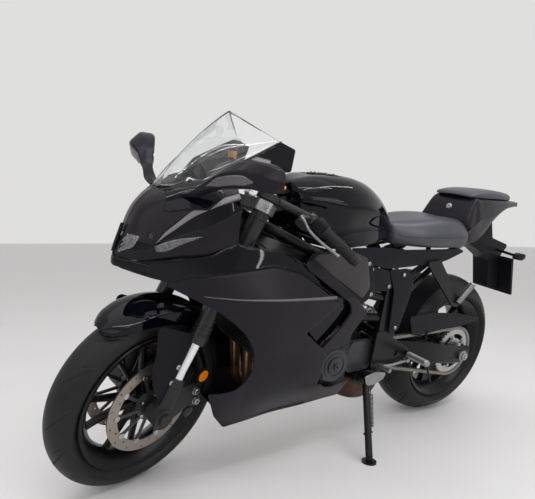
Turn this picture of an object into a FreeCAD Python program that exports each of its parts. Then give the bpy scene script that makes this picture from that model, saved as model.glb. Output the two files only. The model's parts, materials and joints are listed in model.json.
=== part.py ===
import FreeCAD, Part
import math
import os
from FreeCAD import Vector

# A middleweight sport bike, leaning on its side stand with the front wheel turned to the left.
# It is modelled upright and straight ahead: x forward, y to the rider's left, z up, with the
# origin on the ground half way between the axles. At the end the steered pieces are turned, the
# whole bike is leaned over onto its stand, and the origin goes to the middle of its floor area.

# Wheels, steering geometry and stance
wheelbase = 1395.0
rake = 23.67
fork_offset = 38.0
steering_at_rest = 15.5
lean = 12.5
running_gap = 5.0
fit_gap = 0.3

# Front wheel
front_tyre_radius = 300.0
front_tyre_width = 120.0
front_crown_radius = 62.0
rim_seat_radius = 216.0
front_bead_width = 89.0
rim_flange = 7.5
rim_flange_height = 12.0
tyre_wall = 9.0
front_disc_radius = 149.0
front_disc_thickness = 4.5
front_disc_plane = 62.0
front_hub_radius = 32.0
front_hub_half = 46.0
front_axle_diameter = 25.0

# Rear wheel
rear_tyre_radius = 315.0
rear_tyre_width = 180.0
rear_crown_radius = 94.0
rear_bead_width = 140.0
rear_disc_radius = 122.5
rear_disc_thickness = 5.0
rear_disc_plane = -96.0
rear_hub_radius = 40.0
rear_hub_half = 78.0
rear_axle_diameter = 25.0
spoke_pairs = 5

# Chain drive
chain_pitch = 15.875
chain_links = 104
rear_teeth = 42
front_teeth = 16
chain_line = 103.6
chain_inner_gap = 8.2
chain_plate = 2.2
chain_plate_height = 14.5
chain_waist_height = 10.5
chain_roller = 10.2
sprocket_thickness = 6.6
front_sprocket_height = 380.0

# Threaded holes for lifting spools, and the bore under the steering stem
spool_hole = 4.0
stem_bore = 8.5
stem_bore_depth = 50.0

# Swingarm pivot
pivot = Vector(-200, 0, 396)
pivot_bolt_diameter = 20.0

# Fork and controls
fork_leg_spacing = 210.0
inner_tube_diameter = 41.0
outer_tube_diameter = 54.0
lower_clamp_height = 762.0
upper_clamp_height = 908.0
clamp_thickness = 32.0
stem_diameter = 30.0
bar_diameter = 22.2
grip_diameter = 34.0
bar_end = Vector(246, 343, 818)
bar_root = Vector(322, 190, 918)

# Bodywork
panel_wall = 3.0
panel_gap = 0.8
screen_wall = 3.0

seat_base = 784.0

# Side stand
stand_pivot = Vector(-134, 146, 300)
stand_foot_x = -60.0
stand_foot_reach = 288.0
stand_leg_diameter = 24.0
stand_axis_tilt = 22.0

sin_rake = math.sin(math.radians(rake))
cos_rake = math.cos(math.radians(rake))
front_axle = Vector(wheelbase / 2, 0, front_tyre_radius)
rear_axle = Vector(-wheelbase / 2, 0, rear_tyre_radius)
steering_up = Vector(-sin_rake, 0, cos_rake)
steering_foot_x = wheelbase / 2 + front_tyre_radius * math.tan(math.radians(rake)) - fork_offset / cos_rake
steering_foot = Vector(steering_foot_x, 0, 0)


def on_steering_axis(height, forward=0.0, side=0.0):
    """A point beside the steering axis: how high on the axis, how far in front and to the left."""
    base = steering_foot + steering_up * (height / cos_rake)
    return base + Vector(cos_rake, 0, sin_rake) * forward + Vector(0, side, 0)


def rounded_wire(points, radius, closed=True):
    """Straight runs joined by tangent arcs; an arc takes at most 0.45 of the run beside it."""
    count = len(points)
    corners = []
    for index, point in enumerate(points):
        at_end = not closed and index in (0, count - 1)
        back = points[index - 1] - point
        ahead = points[(index + 1) % count] - point
        turn = math.pi - back.getAngle(ahead)
        if at_end or radius <= 0 or turn < 0.01:
            corners.append((point, None, point))
            continue
        setback = min(radius * math.tan(turn / 2), 0.45 * min(back.Length, ahead.Length))
        back.normalize()
        ahead.normalize()
        inward = back + ahead
        inward.normalize()
        arc_radius = setback / math.tan(turn / 2)
        middle = point + inward * (arc_radius / math.cos(turn / 2) - arc_radius)
        corners.append((point + back * setback, middle, point + ahead * setback))
    edges = []
    for index, (start, middle, end) in enumerate(corners):
        if middle is not None:
            edges.append(Part.Arc(start, middle, end).toShape())
        following = corners[(index + 1) % count][0]
        last = not closed and index == count - 1
        if not last and (following - end).Length > 1e-6:
            edges.append(Part.LineSegment(end, following).toShape())
    return Part.Wire(edges)


def plate(outline, near, far, radius=0.0):
    """A side-view outline of (x, z) corners made solid from y = near to y = far."""
    wire = rounded_wire([Vector(x, near, z) for x, z in outline], radius)
    return Part.Face(wire).extrude(Vector(0, far - near, 0))


def block(x0, x1, y0, y1, z0, z1):
    return Part.makeBox(x1 - x0, y1 - y0, z1 - z0, Vector(x0, y0, z0))


def rod(start, end, diameter):
    return Part.makeCylinder(diameter / 2, (end - start).Length, start, end - start)


def drum(centre, radius, near, far, bore=0.0):
    """A disc or sleeve about a cross-wise axis through centre, from y = near to y = far."""
    start = Vector(centre.x, near, centre.z)
    solid = Part.makeCylinder(radius, far - near, start, Vector(0, 1, 0))
    if bore > 0:
        solid = solid.cut(Part.makeCylinder(bore, far - near, start, Vector(0, 1, 0)))
    return solid


def turned(profile, centre):
    """A closed profile of (radius, y) corners spun about the cross-wise axis through centre."""
    corners = [Vector(centre.x + r, y, centre.z) for r, y in profile]
    face = Part.Face(Part.makePolygon(corners + [corners[0]]))
    return face.revolve(Vector(centre.x, 0, centre.z), Vector(0, 1, 0), 360)


def pipe(points, diameter, bend):
    """A round bar along straight runs joined by bends of one radius."""
    spine = rounded_wire([Vector(*point) for point in points], bend, closed=False)
    first = Vector(*points[1]) - Vector(*points[0])
    circle = Part.Wire(Part.makeCircle(diameter / 2, Vector(*points[0]), first))
    return spine.makePipeShell([circle], True, False)


def mirrored(shape):
    return shape.mirror(Vector(0, 0, 0), Vector(0, 1, 0))


def both(shape):
    return Part.makeCompound([shape, mirrored(shape)])


def joined(first, *others):
    return first.multiFuse(list(others)).removeSplitter()


def polygon(points):
    return Part.makePolygon(points + [points[0]])


def band(line, wall):
    """A line of (y, z) points given a wall on its inner side, as a closed ring of points."""
    inner = []
    for index, (y, z) in enumerate(line):
        before = line[max(index - 1, 0)]
        after = line[min(index + 1, len(line) - 1)]
        run_in = Vector(y - before[0], z - before[1], 0)
        run_out = Vector(after[0] - y, after[1] - z, 0)
        if run_in.Length < 1e-9:
            run_in = Vector(run_out)
        if run_out.Length < 1e-9:
            run_out = Vector(run_in)
        run_in.normalize()
        run_out.normalize()
        along = run_in + run_out
        along.normalize()
        reach = wall / max(0.5, along.dot(run_in))
        inner.append((y + along.y * reach, z - along.x * reach))
    return list(line) + inner[::-1]


def skin(stations, wall, inset=0.0):
    """A panel shell lofted through cross sections: each station is x and its (y, z) line."""
    sections = []
    for x, line in stations:
        ring = band([(y - inset, z) for y, z in line], wall)
        sections.append(polygon([Vector(x, y, z) for y, z in ring]))
    return Part.makeLoft(sections, True, False)


def cut_out(shell, outline, radius=0.0, near=0.0, far=400.0):
    return shell.common(plate(outline, near, far, radius))


def section_loft(stations):
    """A body lofted along x: x, bottom z, top z, half width low, half width high, corner radius."""
    wires = []
    for x, low, high, half_low, half_high, corner in stations:
        points = [
            Vector(x, -half_low, low),
            Vector(x, half_low, low),
            Vector(x, half_high, high),
            Vector(x, -half_high, high),
        ]
        wires.append(rounded_wire(points, corner))
    return Part.makeLoft(wires, True, False)


nodes = {}


def add(name, body, shape):
    nodes[name] = (body, shape)


# Wheels: a hollow tyre, a cast rim with five pairs of spokes, and drilled discs.
def tyre(centre, radius, width, crown, bead_width, wall):
    half = width / 2
    crown_centre = radius - crown
    shoulder = crown_centre + math.sqrt(crown ** 2 - half ** 2)
    bead_half = bead_width / 2
    lean_out = math.asin(half / crown)

    def arc_point(size, angle):
        return Vector(centre.x + crown_centre + size * math.cos(angle), size * math.sin(angle), centre.z)

    inner_crown = crown - wall
    inner_angle = lean_out * 0.92
    outer_left = arc_point(crown, lean_out)
    outer_right = arc_point(crown, -lean_out)
    inner_left = arc_point(inner_crown, inner_angle)
    inner_right = arc_point(inner_crown, -inner_angle)
    rim = centre.x + rim_seat_radius
    lip = rim + rim_flange_height + 2
    bulge = (centre.x + shoulder + lip) / 2
    fullness = half - 2
    edges = [
        Part.Arc(outer_right, arc_point(crown, 0), outer_left),
        Part.Arc(outer_left, Vector(bulge, fullness, centre.z), Vector(lip, bead_half, centre.z)),
        Part.LineSegment(Vector(lip, bead_half, centre.z), Vector(rim, bead_half, centre.z)),
        Part.LineSegment(Vector(rim, bead_half, centre.z), Vector(rim, bead_half - wall, centre.z)),
        Part.LineSegment(Vector(rim, bead_half - wall, centre.z), inner_left),
        Part.Arc(inner_left, arc_point(inner_crown, 0), inner_right),
        Part.LineSegment(inner_right, Vector(rim, wall - bead_half, centre.z)),
        Part.LineSegment(Vector(rim, wall - bead_half, centre.z), Vector(rim, -bead_half, centre.z)),
        Part.LineSegment(Vector(rim, -bead_half, centre.z), Vector(lip, -bead_half, centre.z)),
        Part.Arc(Vector(lip, -bead_half, centre.z), Vector(bulge, -fullness, centre.z), outer_right),
    ]
    face = Part.Face(Part.Wire([edge.toShape() for edge in edges]))
    return face.revolve(Vector(centre.x, 0, centre.z), Vector(0, 1, 0), 360)


def wheel(centre, bead_width, hub_radius, hub_half, bore):
    bead = bead_width / 2
    lip = bead + rim_flange
    edge = rim_seat_radius + rim_flange_height
    rim = turned(
        [
            (edge - 2, -lip),
            (edge, -lip + 3),
            (edge, -bead - fit_gap),
            (rim_seat_radius - fit_gap, -bead - fit_gap),
            (rim_seat_radius - fit_gap, -bead + 14),
            (rim_seat_radius - 24, -bead + 28),
            (rim_seat_radius - 24, bead - 28),
            (rim_seat_radius - fit_gap, bead - 14),
            (rim_seat_radius - fit_gap, bead + fit_gap),
            (edge, bead + fit_gap),
            (edge, lip - 3),
            (edge - 2, lip),
            (rim_seat_radius - 9, lip - 7),
            (rim_seat_radius - 31, bead - 28),
            (rim_seat_radius - 31, -bead + 28),
            (rim_seat_radius - 9, -lip + 7),
        ],
        centre,
    )
    spoke_root = hub_radius - 4
    spoke_tip = rim_seat_radius - 27
    pieces = []
    for pair in range(spoke_pairs):
        for side in (-1, 1):
            sections = []
            for reach, half_wide, half_deep, offset in (
                (spoke_root, 9.5, 19.0, 12.0),
                (spoke_root + 50, 7.5, 14.5, 21.0),
                (spoke_tip, 6.0, 11.0, 52.0),
            ):
                spread = side * offset
                sections.append(
                    polygon(
                        [
                            Vector(reach, -half_deep, spread - half_wide),
                            Vector(reach, half_deep, spread - half_wide),
                            Vector(reach, half_deep, spread + half_wide),
                            Vector(reach, -half_deep, spread + half_wide),
                        ]
                    )
                )
            spoke = Part.makeLoft(sections, True, False)
            spoke.rotate(Vector(0, 0, 0), Vector(0, 1, 0), 360.0 / spoke_pairs * pair)
            spoke.translate(centre)
            pieces.append(spoke)
    hub = drum(centre, hub_radius, -hub_half, hub_half)
    solid = rim.multiFuse(pieces + [hub])
    return solid.cut(drum(centre, bore, -hub_half - 1, hub_half + 1))


def brake_disc(centre, radius, plane, thickness, band_width, holes, hub_radius):
    """A drilled ring and its inner carrier of arms, one piece about the wheel's centre."""
    half = thickness / 2
    ring = drum(centre, radius, plane - half, plane + half, radius - band_width)
    carrier = drum(centre, hub_radius + 12, plane - half, plane + half, hub_radius)
    arms = []
    for index in range(10):
        arm = block(hub_radius + 8, radius - band_width + 2, plane - half, plane + half, -5, 5)
        arm.rotate(Vector(0, 0, 0), Vector(0, 1, 0), 36.0 * index)
        arm.translate(Vector(centre.x, 0, centre.z))
        arms.append(arm)
    solid = ring.multiFuse([carrier] + arms)
    drills = []
    for index in range(holes):
        angle = 2 * math.pi * index / holes
        reach = radius - band_width / 2 + band_width * 0.22 * (1 if index % 2 else -1)
        spot = Vector(centre.x + reach * math.cos(angle), 0, centre.z + reach * math.sin(angle))
        drills.append(drum(spot, 3.2, plane - thickness, plane + thickness))
    return solid.cut(Part.makeCompound(drills))


front_bore = front_axle_diameter / 2 + fit_gap
rear_bore = rear_axle_diameter / 2 + fit_gap
front_tread = (front_tyre_radius, front_tyre_width, front_crown_radius, front_bead_width)
add("front_tyre", "front_wheel", tyre(front_axle, *front_tread, tyre_wall))
front_rim = wheel(front_axle, front_bead_width, front_hub_radius, front_hub_half, front_bore)
add("front_rim", "front_wheel", front_rim)
front_disc = brake_disc(
    front_axle, front_disc_radius, front_disc_plane, front_disc_thickness, 34, 30, front_hub_radius
)
front_disc_seat = drum(
    front_axle,
    front_hub_radius + 12,
    front_hub_half,
    front_disc_plane + front_disc_thickness / 2,
    front_bore,
)
front_disc = front_disc.fuse(front_disc_seat)
add("front_discs", "front_wheel", both(front_disc))

rear_tread = (rear_tyre_radius, rear_tyre_width, rear_crown_radius, rear_bead_width)
add("rear_tyre", "rear_wheel", tyre(rear_axle, *rear_tread, tyre_wall))
rear_rim = wheel(rear_axle, rear_bead_width, rear_hub_radius, rear_hub_half, rear_bore)
add("rear_rim", "rear_wheel", rear_rim)
rear_disc = brake_disc(rear_axle, rear_disc_radius, rear_disc_plane, rear_disc_thickness, 32, 24, rear_hub_radius)
rear_disc_seat = drum(rear_axle, rear_hub_radius + 12, rear_disc_plane, -rear_hub_half, rear_bore)
add("rear_disc", "rear_wheel", rear_disc.fuse(rear_disc_seat))


# Chain drive: a toothed rear sprocket on its carrier, the front sprocket and one chain loop.
def pitch_radius(teeth):
    return chain_pitch / 2 / math.sin(math.pi / teeth)


def sprocket(centre, teeth, plane, thickness, turn=0.0):
    """A toothed disc: each tooth is a flat tip between two slopes down to the roller seat."""
    pitch = pitch_radius(teeth)
    root = pitch - chain_roller / 2 - fit_gap
    tip = pitch + 3.2
    corners = []
    for index in range(teeth):
        middle = 2 * math.pi * (index + 0.5) / teeth + turn
        step = 2 * math.pi / teeth
        for reach, part in ((root, -0.32), (tip, -0.09), (tip, 0.09), (root, 0.32)):
            angle = middle + part * step
            corners.append((centre.x + reach * math.cos(angle), centre.z + reach * math.sin(angle)))
    return plate(corners, plane - thickness / 2, plane + thickness / 2)


rear_pitch = pitch_radius(rear_teeth)
front_pitch = pitch_radius(front_teeth)
tooth_sum = (rear_teeth + front_teeth) / 2
tooth_share = ((rear_teeth - front_teeth) / (2 * math.pi)) ** 2
free_links = chain_links - tooth_sum
centre_links = (free_links + math.sqrt(free_links ** 2 - 8 * tooth_share)) / 4
chain_centres = centre_links * chain_pitch
sprocket_drop = front_sprocket_height - rear_axle.z
front_sprocket = Vector(
    rear_axle.x + math.sqrt(chain_centres ** 2 - sprocket_drop ** 2), 0, front_sprocket_height
)

rear_gear = sprocket(rear_axle, rear_teeth, chain_line, sprocket_thickness)
rear_gear = rear_gear.cut(drum(rear_axle, 78, chain_line - 10, chain_line + 10))
gear_face = drum(rear_axle, 58, chain_line - sprocket_thickness / 2, chain_line + sprocket_thickness / 2)
gear_arms = []
for index in range(5):
    arm = block(40, 82, chain_line - sprocket_thickness / 2, chain_line + sprocket_thickness / 2, -12, 12)
    arm.rotate(Vector(0, 0, 0), Vector(0, 1, 0), 72.0 * index)
    arm.translate(Vector(rear_axle.x, 0, rear_axle.z))
    gear_arms.append(arm)
gear_hub = drum(rear_axle, 58, rear_hub_half, chain_line)
rear_gear = rear_gear.multiFuse([gear_face, gear_hub] + gear_arms)
rear_gear = rear_gear.cut(drum(rear_axle, rear_bore, rear_hub_half - 1, chain_line + 10))
add("rear_sprocket", "rear_wheel", rear_gear)


def chain_path(count):
    """Pin places, evenly spaced along the loop of two tangents and two wraps."""
    along = Vector(front_sprocket.x - rear_axle.x, 0, front_sprocket.z - rear_axle.z)
    distance = along.Length
    slope = math.atan2(along.z, along.x)
    open_angle = math.asin((rear_pitch - front_pitch) / distance)
    run = math.sqrt(distance ** 2 - (rear_pitch - front_pitch) ** 2)
    wrap_rear = (math.pi + 2 * open_angle) * rear_pitch
    wrap_front = (math.pi - 2 * open_angle) * front_pitch
    total = 2 * run + wrap_rear + wrap_front
    top = slope + math.pi / 2 - open_angle
    places = []
    for index in range(count):
        travel = total * index / count
        if travel < run:
            start = rear_axle + Vector(math.cos(top), 0, math.sin(top)) * rear_pitch
            heading = top - math.pi / 2
            point = start + Vector(math.cos(heading), 0, math.sin(heading)) * travel
            outward = top
            where = "run"
        elif travel < run + wrap_front:
            outward = top - (travel - run) / front_pitch
            point = front_sprocket + Vector(math.cos(outward), 0, math.sin(outward)) * front_pitch
            where = "front"
        elif travel < 2 * run + wrap_front:
            outward = top - wrap_front / front_pitch
            start = front_sprocket + Vector(math.cos(outward), 0, math.sin(outward)) * front_pitch
            heading = outward - math.pi / 2
            point = start + Vector(math.cos(heading), 0, math.sin(heading)) * (travel - run - wrap_front)
            where = "run"
        else:
            outward = top - wrap_front / front_pitch - (travel - 2 * run - wrap_front) / rear_pitch
            point = rear_axle + Vector(math.cos(outward), 0, math.sin(outward)) * rear_pitch
            where = "rear"
        places.append((point, outward, where))
    return places


def chain():
    """Two rows of link plates as scalloped loops, tied by the rollers of the free runs."""
    places = chain_path(2 * chain_links)
    outer = []
    inner = []
    for index, (point, outward, where) in enumerate(places):
        half = (chain_plate_height if index % 2 == 0 else chain_waist_height) / 2
        direction = Vector(math.cos(outward), 0, math.sin(outward))
        outer.append(point + direction * half)
        inner.append(point - direction * half)
    solids = []
    for side in (-1, 1):
        near = chain_line + side * chain_inner_gap / 2 - (chain_plate if side < 0 else 0)
        lift = Vector(0, near, 0)
        face = Part.Face([polygon([p + lift for p in outer]), polygon([p + lift for p in inner])])
        if not face.isValid():
            face.validate()
        solids.append(face.extrude(Vector(0, chain_plate, 0)))
    rollers = []
    for index, (point, outward, where) in enumerate(places):
        clear_rear = (point - rear_axle).Length > rear_pitch + 14
        clear_front = (point - front_sprocket).Length > front_pitch + 7
        if index % 2 == 0 and clear_rear and clear_front:
            corners = []
            for step in range(6):
                angle = outward + math.pi / 6 + step * math.pi / 3
                reach = chain_roller / 2
                corners.append((point.x + reach * math.cos(angle), point.z + reach * math.sin(angle)))
            half = chain_inner_gap / 2
            rollers.append(plate(corners, chain_line - half - 0.5, chain_line + half + 0.5))
    return solids[0].multiFuse([solids[1]] + rollers)


add("drive_chain", "chassis", chain())

# Engine: one block with its inclined cylinders, the gearbox end and the round covers.
engine_half = 144.0
crankcase = plate(
    [(-38, 292), (-38, 492), (60, 512), (196, 478), (214, 400), (196, 318), (120, 272), (10, 272)],
    -engine_half,
    engine_half - 12,
    18,
)
gearbox = plate([(-148, 330), (-148, 440), (-60, 498), (0, 500), (0, 280), (-96, 292)], -engine_half + 10, 78, 14)
cylinders = plate([(48, 500), (190, 470), (290, 640), (160, 694)], -120, 120)
head = plate([(146, 690), (292, 632), (318, 690), (300, 752), (196, 772)], -128, 128, 16)
output_shaft = drum(front_sprocket, 14, 70, chain_line + 8)
drive_sprocket = sprocket(front_sprocket, front_teeth, chain_line, sprocket_thickness)
engine = crankcase.multiFuse([gearbox, cylinders, head, output_shaft, drive_sprocket])
add("engine_block", "chassis", engine)

generator_centre = Vector(70, 0, 392)
case_face = engine_half - 12
generator = drum(generator_centre, 74, case_face, case_face + 22)
generator = generator.fuse(
    Part.makeCone(68, 58, 26, Vector(generator_centre.x, case_face + 22, generator_centre.z), Vector(0, 1, 0))
)
generator = generator.fuse(drum(generator_centre, 22, case_face + 48, case_face + 54))
generator = generator.cut(drum(generator_centre, 9, case_face + 50, case_face + 60))

clutch_centre = Vector(-20, 0, 392)
clutch_radius = 88.0
clutch = drum(clutch_centre, clutch_radius, -engine_half - 30, -engine_half)
clutch_face = Vector(clutch_centre.x, -engine_half - 30, clutch_centre.z)
clutch = clutch.fuse(Part.makeCone(clutch_radius - 8, clutch_radius - 22, 18, clutch_face, Vector(0, -1, 0)))

sprocket_cover = plate(
    [(-160, 326), (-166, 410), (-140, 440), (-52, 440), (-40, 410), (-40, 322), (-110, 322)],
    chain_line + 11,
    chain_line + 27,
    22,
)
posts = [rod(Vector(x, 78, z), Vector(x, chain_line + 12, z), 14) for x, z in ((-52, 430), (-52, 332))]
sprocket_cover = sprocket_cover.multiFuse(posts)
add("engine_covers", "chassis", Part.makeCompound([generator, clutch, sprocket_cover]))

# Radiator in front of the cylinders, its top leaning forward.
radiator_tilt = 12.0
radiator_centre = Vector(394, 0, 562)
radiator = block(-19, 19, -160, 160, -108, 108)
radiator = radiator.cut(Part.makeCompound([block(-40, -12, -138, 138, -92, 92), block(12, 40, -138, 138, -92, 92)]))
fins = [block(-17, 17, -140, 140, z, z + 3) for z in range(-84, 85, 12)]
radiator = radiator.multiFuse(fins)
radiator.rotate(Vector(0, 0, 0), Vector(0, 1, 0), radiator_tilt)
radiator.translate(radiator_centre)
radiator_hangers = both(rod(Vector(414, 112, 664), Vector(366, 112, 744), 12))

# Exhaust: two header pipes, the collector under the engine and the silencer box.
header_diameter = 38.1
header_route = [
    (286, 46, 640), (332, 46, 606), (334, 44, 430), (312, 36, 262), (190, 30, 232), (60, 26, 232),
]
header_left = pipe(header_route, header_diameter, 60)
header_right = pipe([(x, -y, z) for x, y, z in header_route], header_diameter, 60)
collector = Part.makeCone(44, 30, 90, Vector(70, 0, 232), Vector(-1, 0, 0))
link_pipe = pipe([(0, 0, 232), (-40, 0, 232), (-80, -10, 232)], 50, 60)
headers = header_left.multiFuse([header_right, collector, link_pipe])
headers = headers.cut(engine)
add("exhaust_headers", "chassis", headers)

silencer = section_loft(
    [
        (-80 - fit_gap, 196, 262, 60, 74, 18),
        (-130, 178, 286, 92, 106, 26),
        (-250, 182, 296, 92, 106, 26),
        (-300, 206, 286, 70, 82, 18),
    ]
)
outlet = pipe([(-250, -70, 240), (-330, -104, 250), (-392, -128, 286)], 54, 50)
outlet_bore = pipe([(-250, -70, 240), (-330, -104, 250), (-395, -129.2, 287.5)], 44, 50)
silencer = silencer.fuse(outlet).cut(outlet_bore).cut(headers)
add("silencer", "chassis", silencer)

# Main frame: head tube, two tubes down each side, cross tubes and the pivot plates.
head_tube = rod(on_steering_axis(lower_clamp_height + 22), on_steering_axis(upper_clamp_height - 22), 64)
head_bore = rod(on_steering_axis(lower_clamp_height), on_steering_axis(upper_clamp_height), stem_diameter + 2 * fit_gap)
frame_side = 152.0
rail_diameter = 34.0
upper_rail = [
    (400, 22, 866), (330, 96, 836), (190, frame_side, 772), (60, 146, 690), (-40, 116, 630), (-200, 112, 590),
]
lower_rail = [
    (424, 22, 818), (366, 104, 768), (250, frame_side, 660), (70, frame_side, 562), (-40, 116, 534), (-200, 112, 516),
]
plates = plate(
    [(-172, 632), (-212, 640), (-300, 626), (-262, 470), (-246, 350), (-214, 300), (-174, 310), (-172, 470)],
    114,
    134,
    12,
)
stand_tilt = math.radians(stand_axis_tilt)
stand_axis = Vector(0, math.cos(stand_tilt), math.sin(stand_tilt))
stand_bracket = plate([(-216, 300), (-170, 316), (-100, 316), (-96, 280), (-128, 258), (-182, 266)], 112, 128, 10)
stand_boss = rod(stand_pivot - stand_axis * 26, stand_pivot - stand_axis * (8 + fit_gap), 46)
stand_pin = rod(stand_pivot - stand_axis * 12, stand_pivot + stand_axis * 16, 12)
stand_pin_head = rod(stand_pivot + stand_axis * (12 + fit_gap), stand_pivot + stand_axis * 18, 24)
pivot_bolt = drum(pivot, pivot_bolt_diameter / 2, -140, 140)
pivot_heads = [drum(pivot, 17, 130, 142), drum(pivot, 17, -142, -130)]
left_side = [pipe(upper_rail, rail_diameter, 90), pipe(lower_rail, rail_diameter, 90), plates]
right_side = [mirrored(shape) for shape in left_side]
cross_tubes = [
    rod(Vector(-24, -frame_side, 606), Vector(-24, frame_side, 606), 30),
    rod(Vector(-236, -116, 596), Vector(-236, 116, 596), 34),
    rod(Vector(-236, -116, 330), Vector(-236, 116, 330), 24),
]
cowl_stay = plate([(420, 862), (446, 804), (560, 806), (700 - fit_gap, 800), (700 - fit_gap, 832), (560, 850)], -9, 9)
head_mounts = [rod(Vector(250, 120, 668), Vector(250, frame_side, 668), 22)]
head_mounts.append(mirrored(head_mounts[0]))
gearbox_tube = rod(Vector(-190, -116, 458), Vector(-190, 116, 458), 24)
gearbox_lug = plate([(-200, 468), (-96, 500), (-96, 470), (-140, 436), (-200, 448)], 32, 60)
shock_lug = plate([(-46, 612), (-2, 612), (-6, 560), (-34, 560)], 16, 24)
frame = head_tube.multiFuse(
    left_side + right_side + cross_tubes
    + [stand_bracket, stand_boss, stand_pin, stand_pin_head, pivot_bolt, shock_lug, mirrored(shock_lug)]
    + pivot_heads + head_mounts + [cowl_stay, gearbox_tube, gearbox_lug]
)
frame = frame.cut(head_bore).cut(engine)
add("main_frame", "chassis", frame)
add("radiator", "chassis", radiator.fuse(radiator_hangers).cut(frame))

seat_rail = [(-250, 104, 632), (-420, 104, 724), (-566, 92, 766), (-800, 56, 850)]
stay = [(-262, 106, 560), (-400, 102, 664), (-540, 95, 756)]
rails = [pipe(seat_rail, 25, 90), pipe(stay, 22, 90)]
rails = rails + [mirrored(shape) for shape in rails]
ties = [rod(Vector(-430, -103, 728), Vector(-430, 103, 728), 22), rod(Vector(-780, -60, 842), Vector(-780, 60, 842), 22)]
seat_feet = [rod(Vector(-430, side, 728), Vector(-430, side, seat_base - fit_gap), 18) for side in (-80, 80)]
subframe = rails[0].multiFuse(rails[1:] + ties + seat_feet).cut(frame)
add("subframe", "chassis", subframe)

# Swingarm: two tapered beams that pass through the chain loop, a bridge and the pivot tube.
def beam(stations):
    wires = []
    for x, y0, y1, z0, z1 in stations:
        points = [Vector(x, y0, z0), Vector(x, y1, z0), Vector(x, y1, z1), Vector(x, y0, z1)]
        wires.append(rounded_wire(points, 10))
    return Part.makeLoft(wires, True, False)


left_beam = beam(
    [
        (-212, 52, 86, 362, 426),
        (-330, 60, 94, 326, 400),
        (-450, 98, 130, 302, 394),
        (-570, 118, 146, 290, 372),
        (-660, 119, 147, 278, 352),
        (-752, 119, 147, 286, 344),
    ]
)
bridge = block(-352, -296, -84, 84, 340, 396)
pivot_tube = drum(pivot, 30, -92, 92)
shock_ear = plate([(-346, 394), (-300, 394), (-300, 470), (-322, 484), (-340, 470)], 14, 22)
swingarm = left_beam.multiFuse([mirrored(left_beam), bridge, pivot_tube, shock_ear, mirrored(shock_ear)])
swingarm = swingarm.cut(drum(pivot, pivot_bolt_diameter / 2 + fit_gap, -112, 112))
axle_slot = plate(
    [(rear_axle.x - 16, rear_axle.z - rear_bore), (rear_axle.x + 22, rear_axle.z - rear_bore),
     (rear_axle.x + 22, rear_axle.z + rear_bore), (rear_axle.x - 16, rear_axle.z + rear_bore)],
    -160,
    160,
)
swingarm = swingarm.cut(axle_slot)
spool_spot = Vector(rear_axle.x + 62, 0, rear_axle.z - 6)
spool_depth = 18.0
swingarm = swingarm.cut(both(drum(spool_spot, spool_hole, 147 - spool_depth, 160)))
add("swingarm", "chassis", swingarm)

axle_rod = drum(rear_axle, rear_axle_diameter / 2, -164, 164)
axle_heads = [drum(rear_axle, 19, 147 + fit_gap, 158), drum(rear_axle, 19, -158, -147 - fit_gap)]
spacers = [
    drum(rear_axle, 18, chain_line + 4 + running_gap, 118),
    drum(rear_axle, 18, -118, rear_disc_plane - rear_disc_thickness / 2 - running_gap),
]
add("rear_axle", "chassis", joined(axle_rod, *(axle_heads + spacers)))

# Shock absorber: a coil unit between the frame lug and the bridge.
shock_front = Vector(-20, 0, 574)
shock_rear = Vector(-320, 0, 462)
shock_line = shock_rear - shock_front
shock_length = shock_line.Length
shock_profile = [(0, 0), (12, 0), (12, 34), (30, 34), (30, 44)]
coils = 7
coil_step = (shock_length - 44 - 70) / coils
for index in range(coils):
    start = 44 + index * coil_step
    shock_profile += [(22, start + 2), (30, start + coil_step * 0.35), (30, start + coil_step * 0.65), (22, start + coil_step - 2)]
shock_profile += [(30, shock_length - 70), (30, shock_length - 60), (20, shock_length - 60), (20, shock_length - 24), (8, shock_length - 24), (8, shock_length), (0, shock_length)]
shock_face = Part.Face(polygon([Vector(r, 0, z) for r, z in shock_profile]))
shock = shock_face.revolve(Vector(0, 0, 0), Vector(0, 0, 1), 360)
shock = shock.multiFuse([rod(Vector(0, -16 + fit_gap, 8), Vector(0, 16 - fit_gap, 8), 24)])
shock_turn = FreeCAD.Rotation(Vector(0, 0, 1), shock_line)
shock.Placement = FreeCAD.Placement(shock_front, shock_turn)
shock_eye = rod(shock_rear + Vector(0, -14 + fit_gap, 0), shock_rear + Vector(0, 14 - fit_gap, 0), 22)
shock = shock.fuse(shock_eye)
add("shock_absorber", "chassis", shock)

# Chain guard and hugger over the tyre, fixed to the left and right beams.
hugger_wall = 3.0
hugger_ring = drum(rear_axle, rear_tyre_radius + 16 + hugger_wall, -96, 96, rear_tyre_radius + 16)
hugger_sector = plate([(-697, 315), (-200, 330), (-200, 700), (-560, 700)], -96, 96)
hugger = hugger_ring.common(hugger_sector)
guard = plate([(-344, 508), (-470, 516), (-640, 500), (-806, 466), (-800, 454), (-690, 440), (-560, 436), (-420, 424), (-380, 430)], 122, 126, 8)
hugger_tie = block(-420, -392, 90, 126, 440, 452)
guard_lug = rod(Vector(-470, 124, 380), Vector(-470, 124, 440), 10)
hugger = hugger.multiFuse([guard, hugger_tie, guard_lug]).cut(swingarm)
add("chain_guard", "chassis", hugger)

# Rear caliper and its bracket on the right.
rear_slot = running_gap + rear_disc_thickness / 2
caliper = drum(rear_axle, rear_disc_radius + 26, rear_disc_plane - 24, rear_disc_plane + 20, rear_disc_radius - 40)
caliper_sector = plate([(-697, 315), (-560, 440), (-620, 520), (-720, 520)], -140, -60)
caliper = caliper.common(caliper_sector)
caliper = caliper.cut(
    drum(rear_axle, rear_disc_radius + running_gap, rear_disc_plane - rear_slot, rear_disc_plane + rear_slot)
)
bracket = plate([(-676, 326), (-610, 336), (-600, 400), (-640, 440)], -118 + fit_gap, -108, 6)
caliper = caliper.fuse(bracket).cut(swingarm)
add("rear_caliper", "chassis", caliper)

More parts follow.
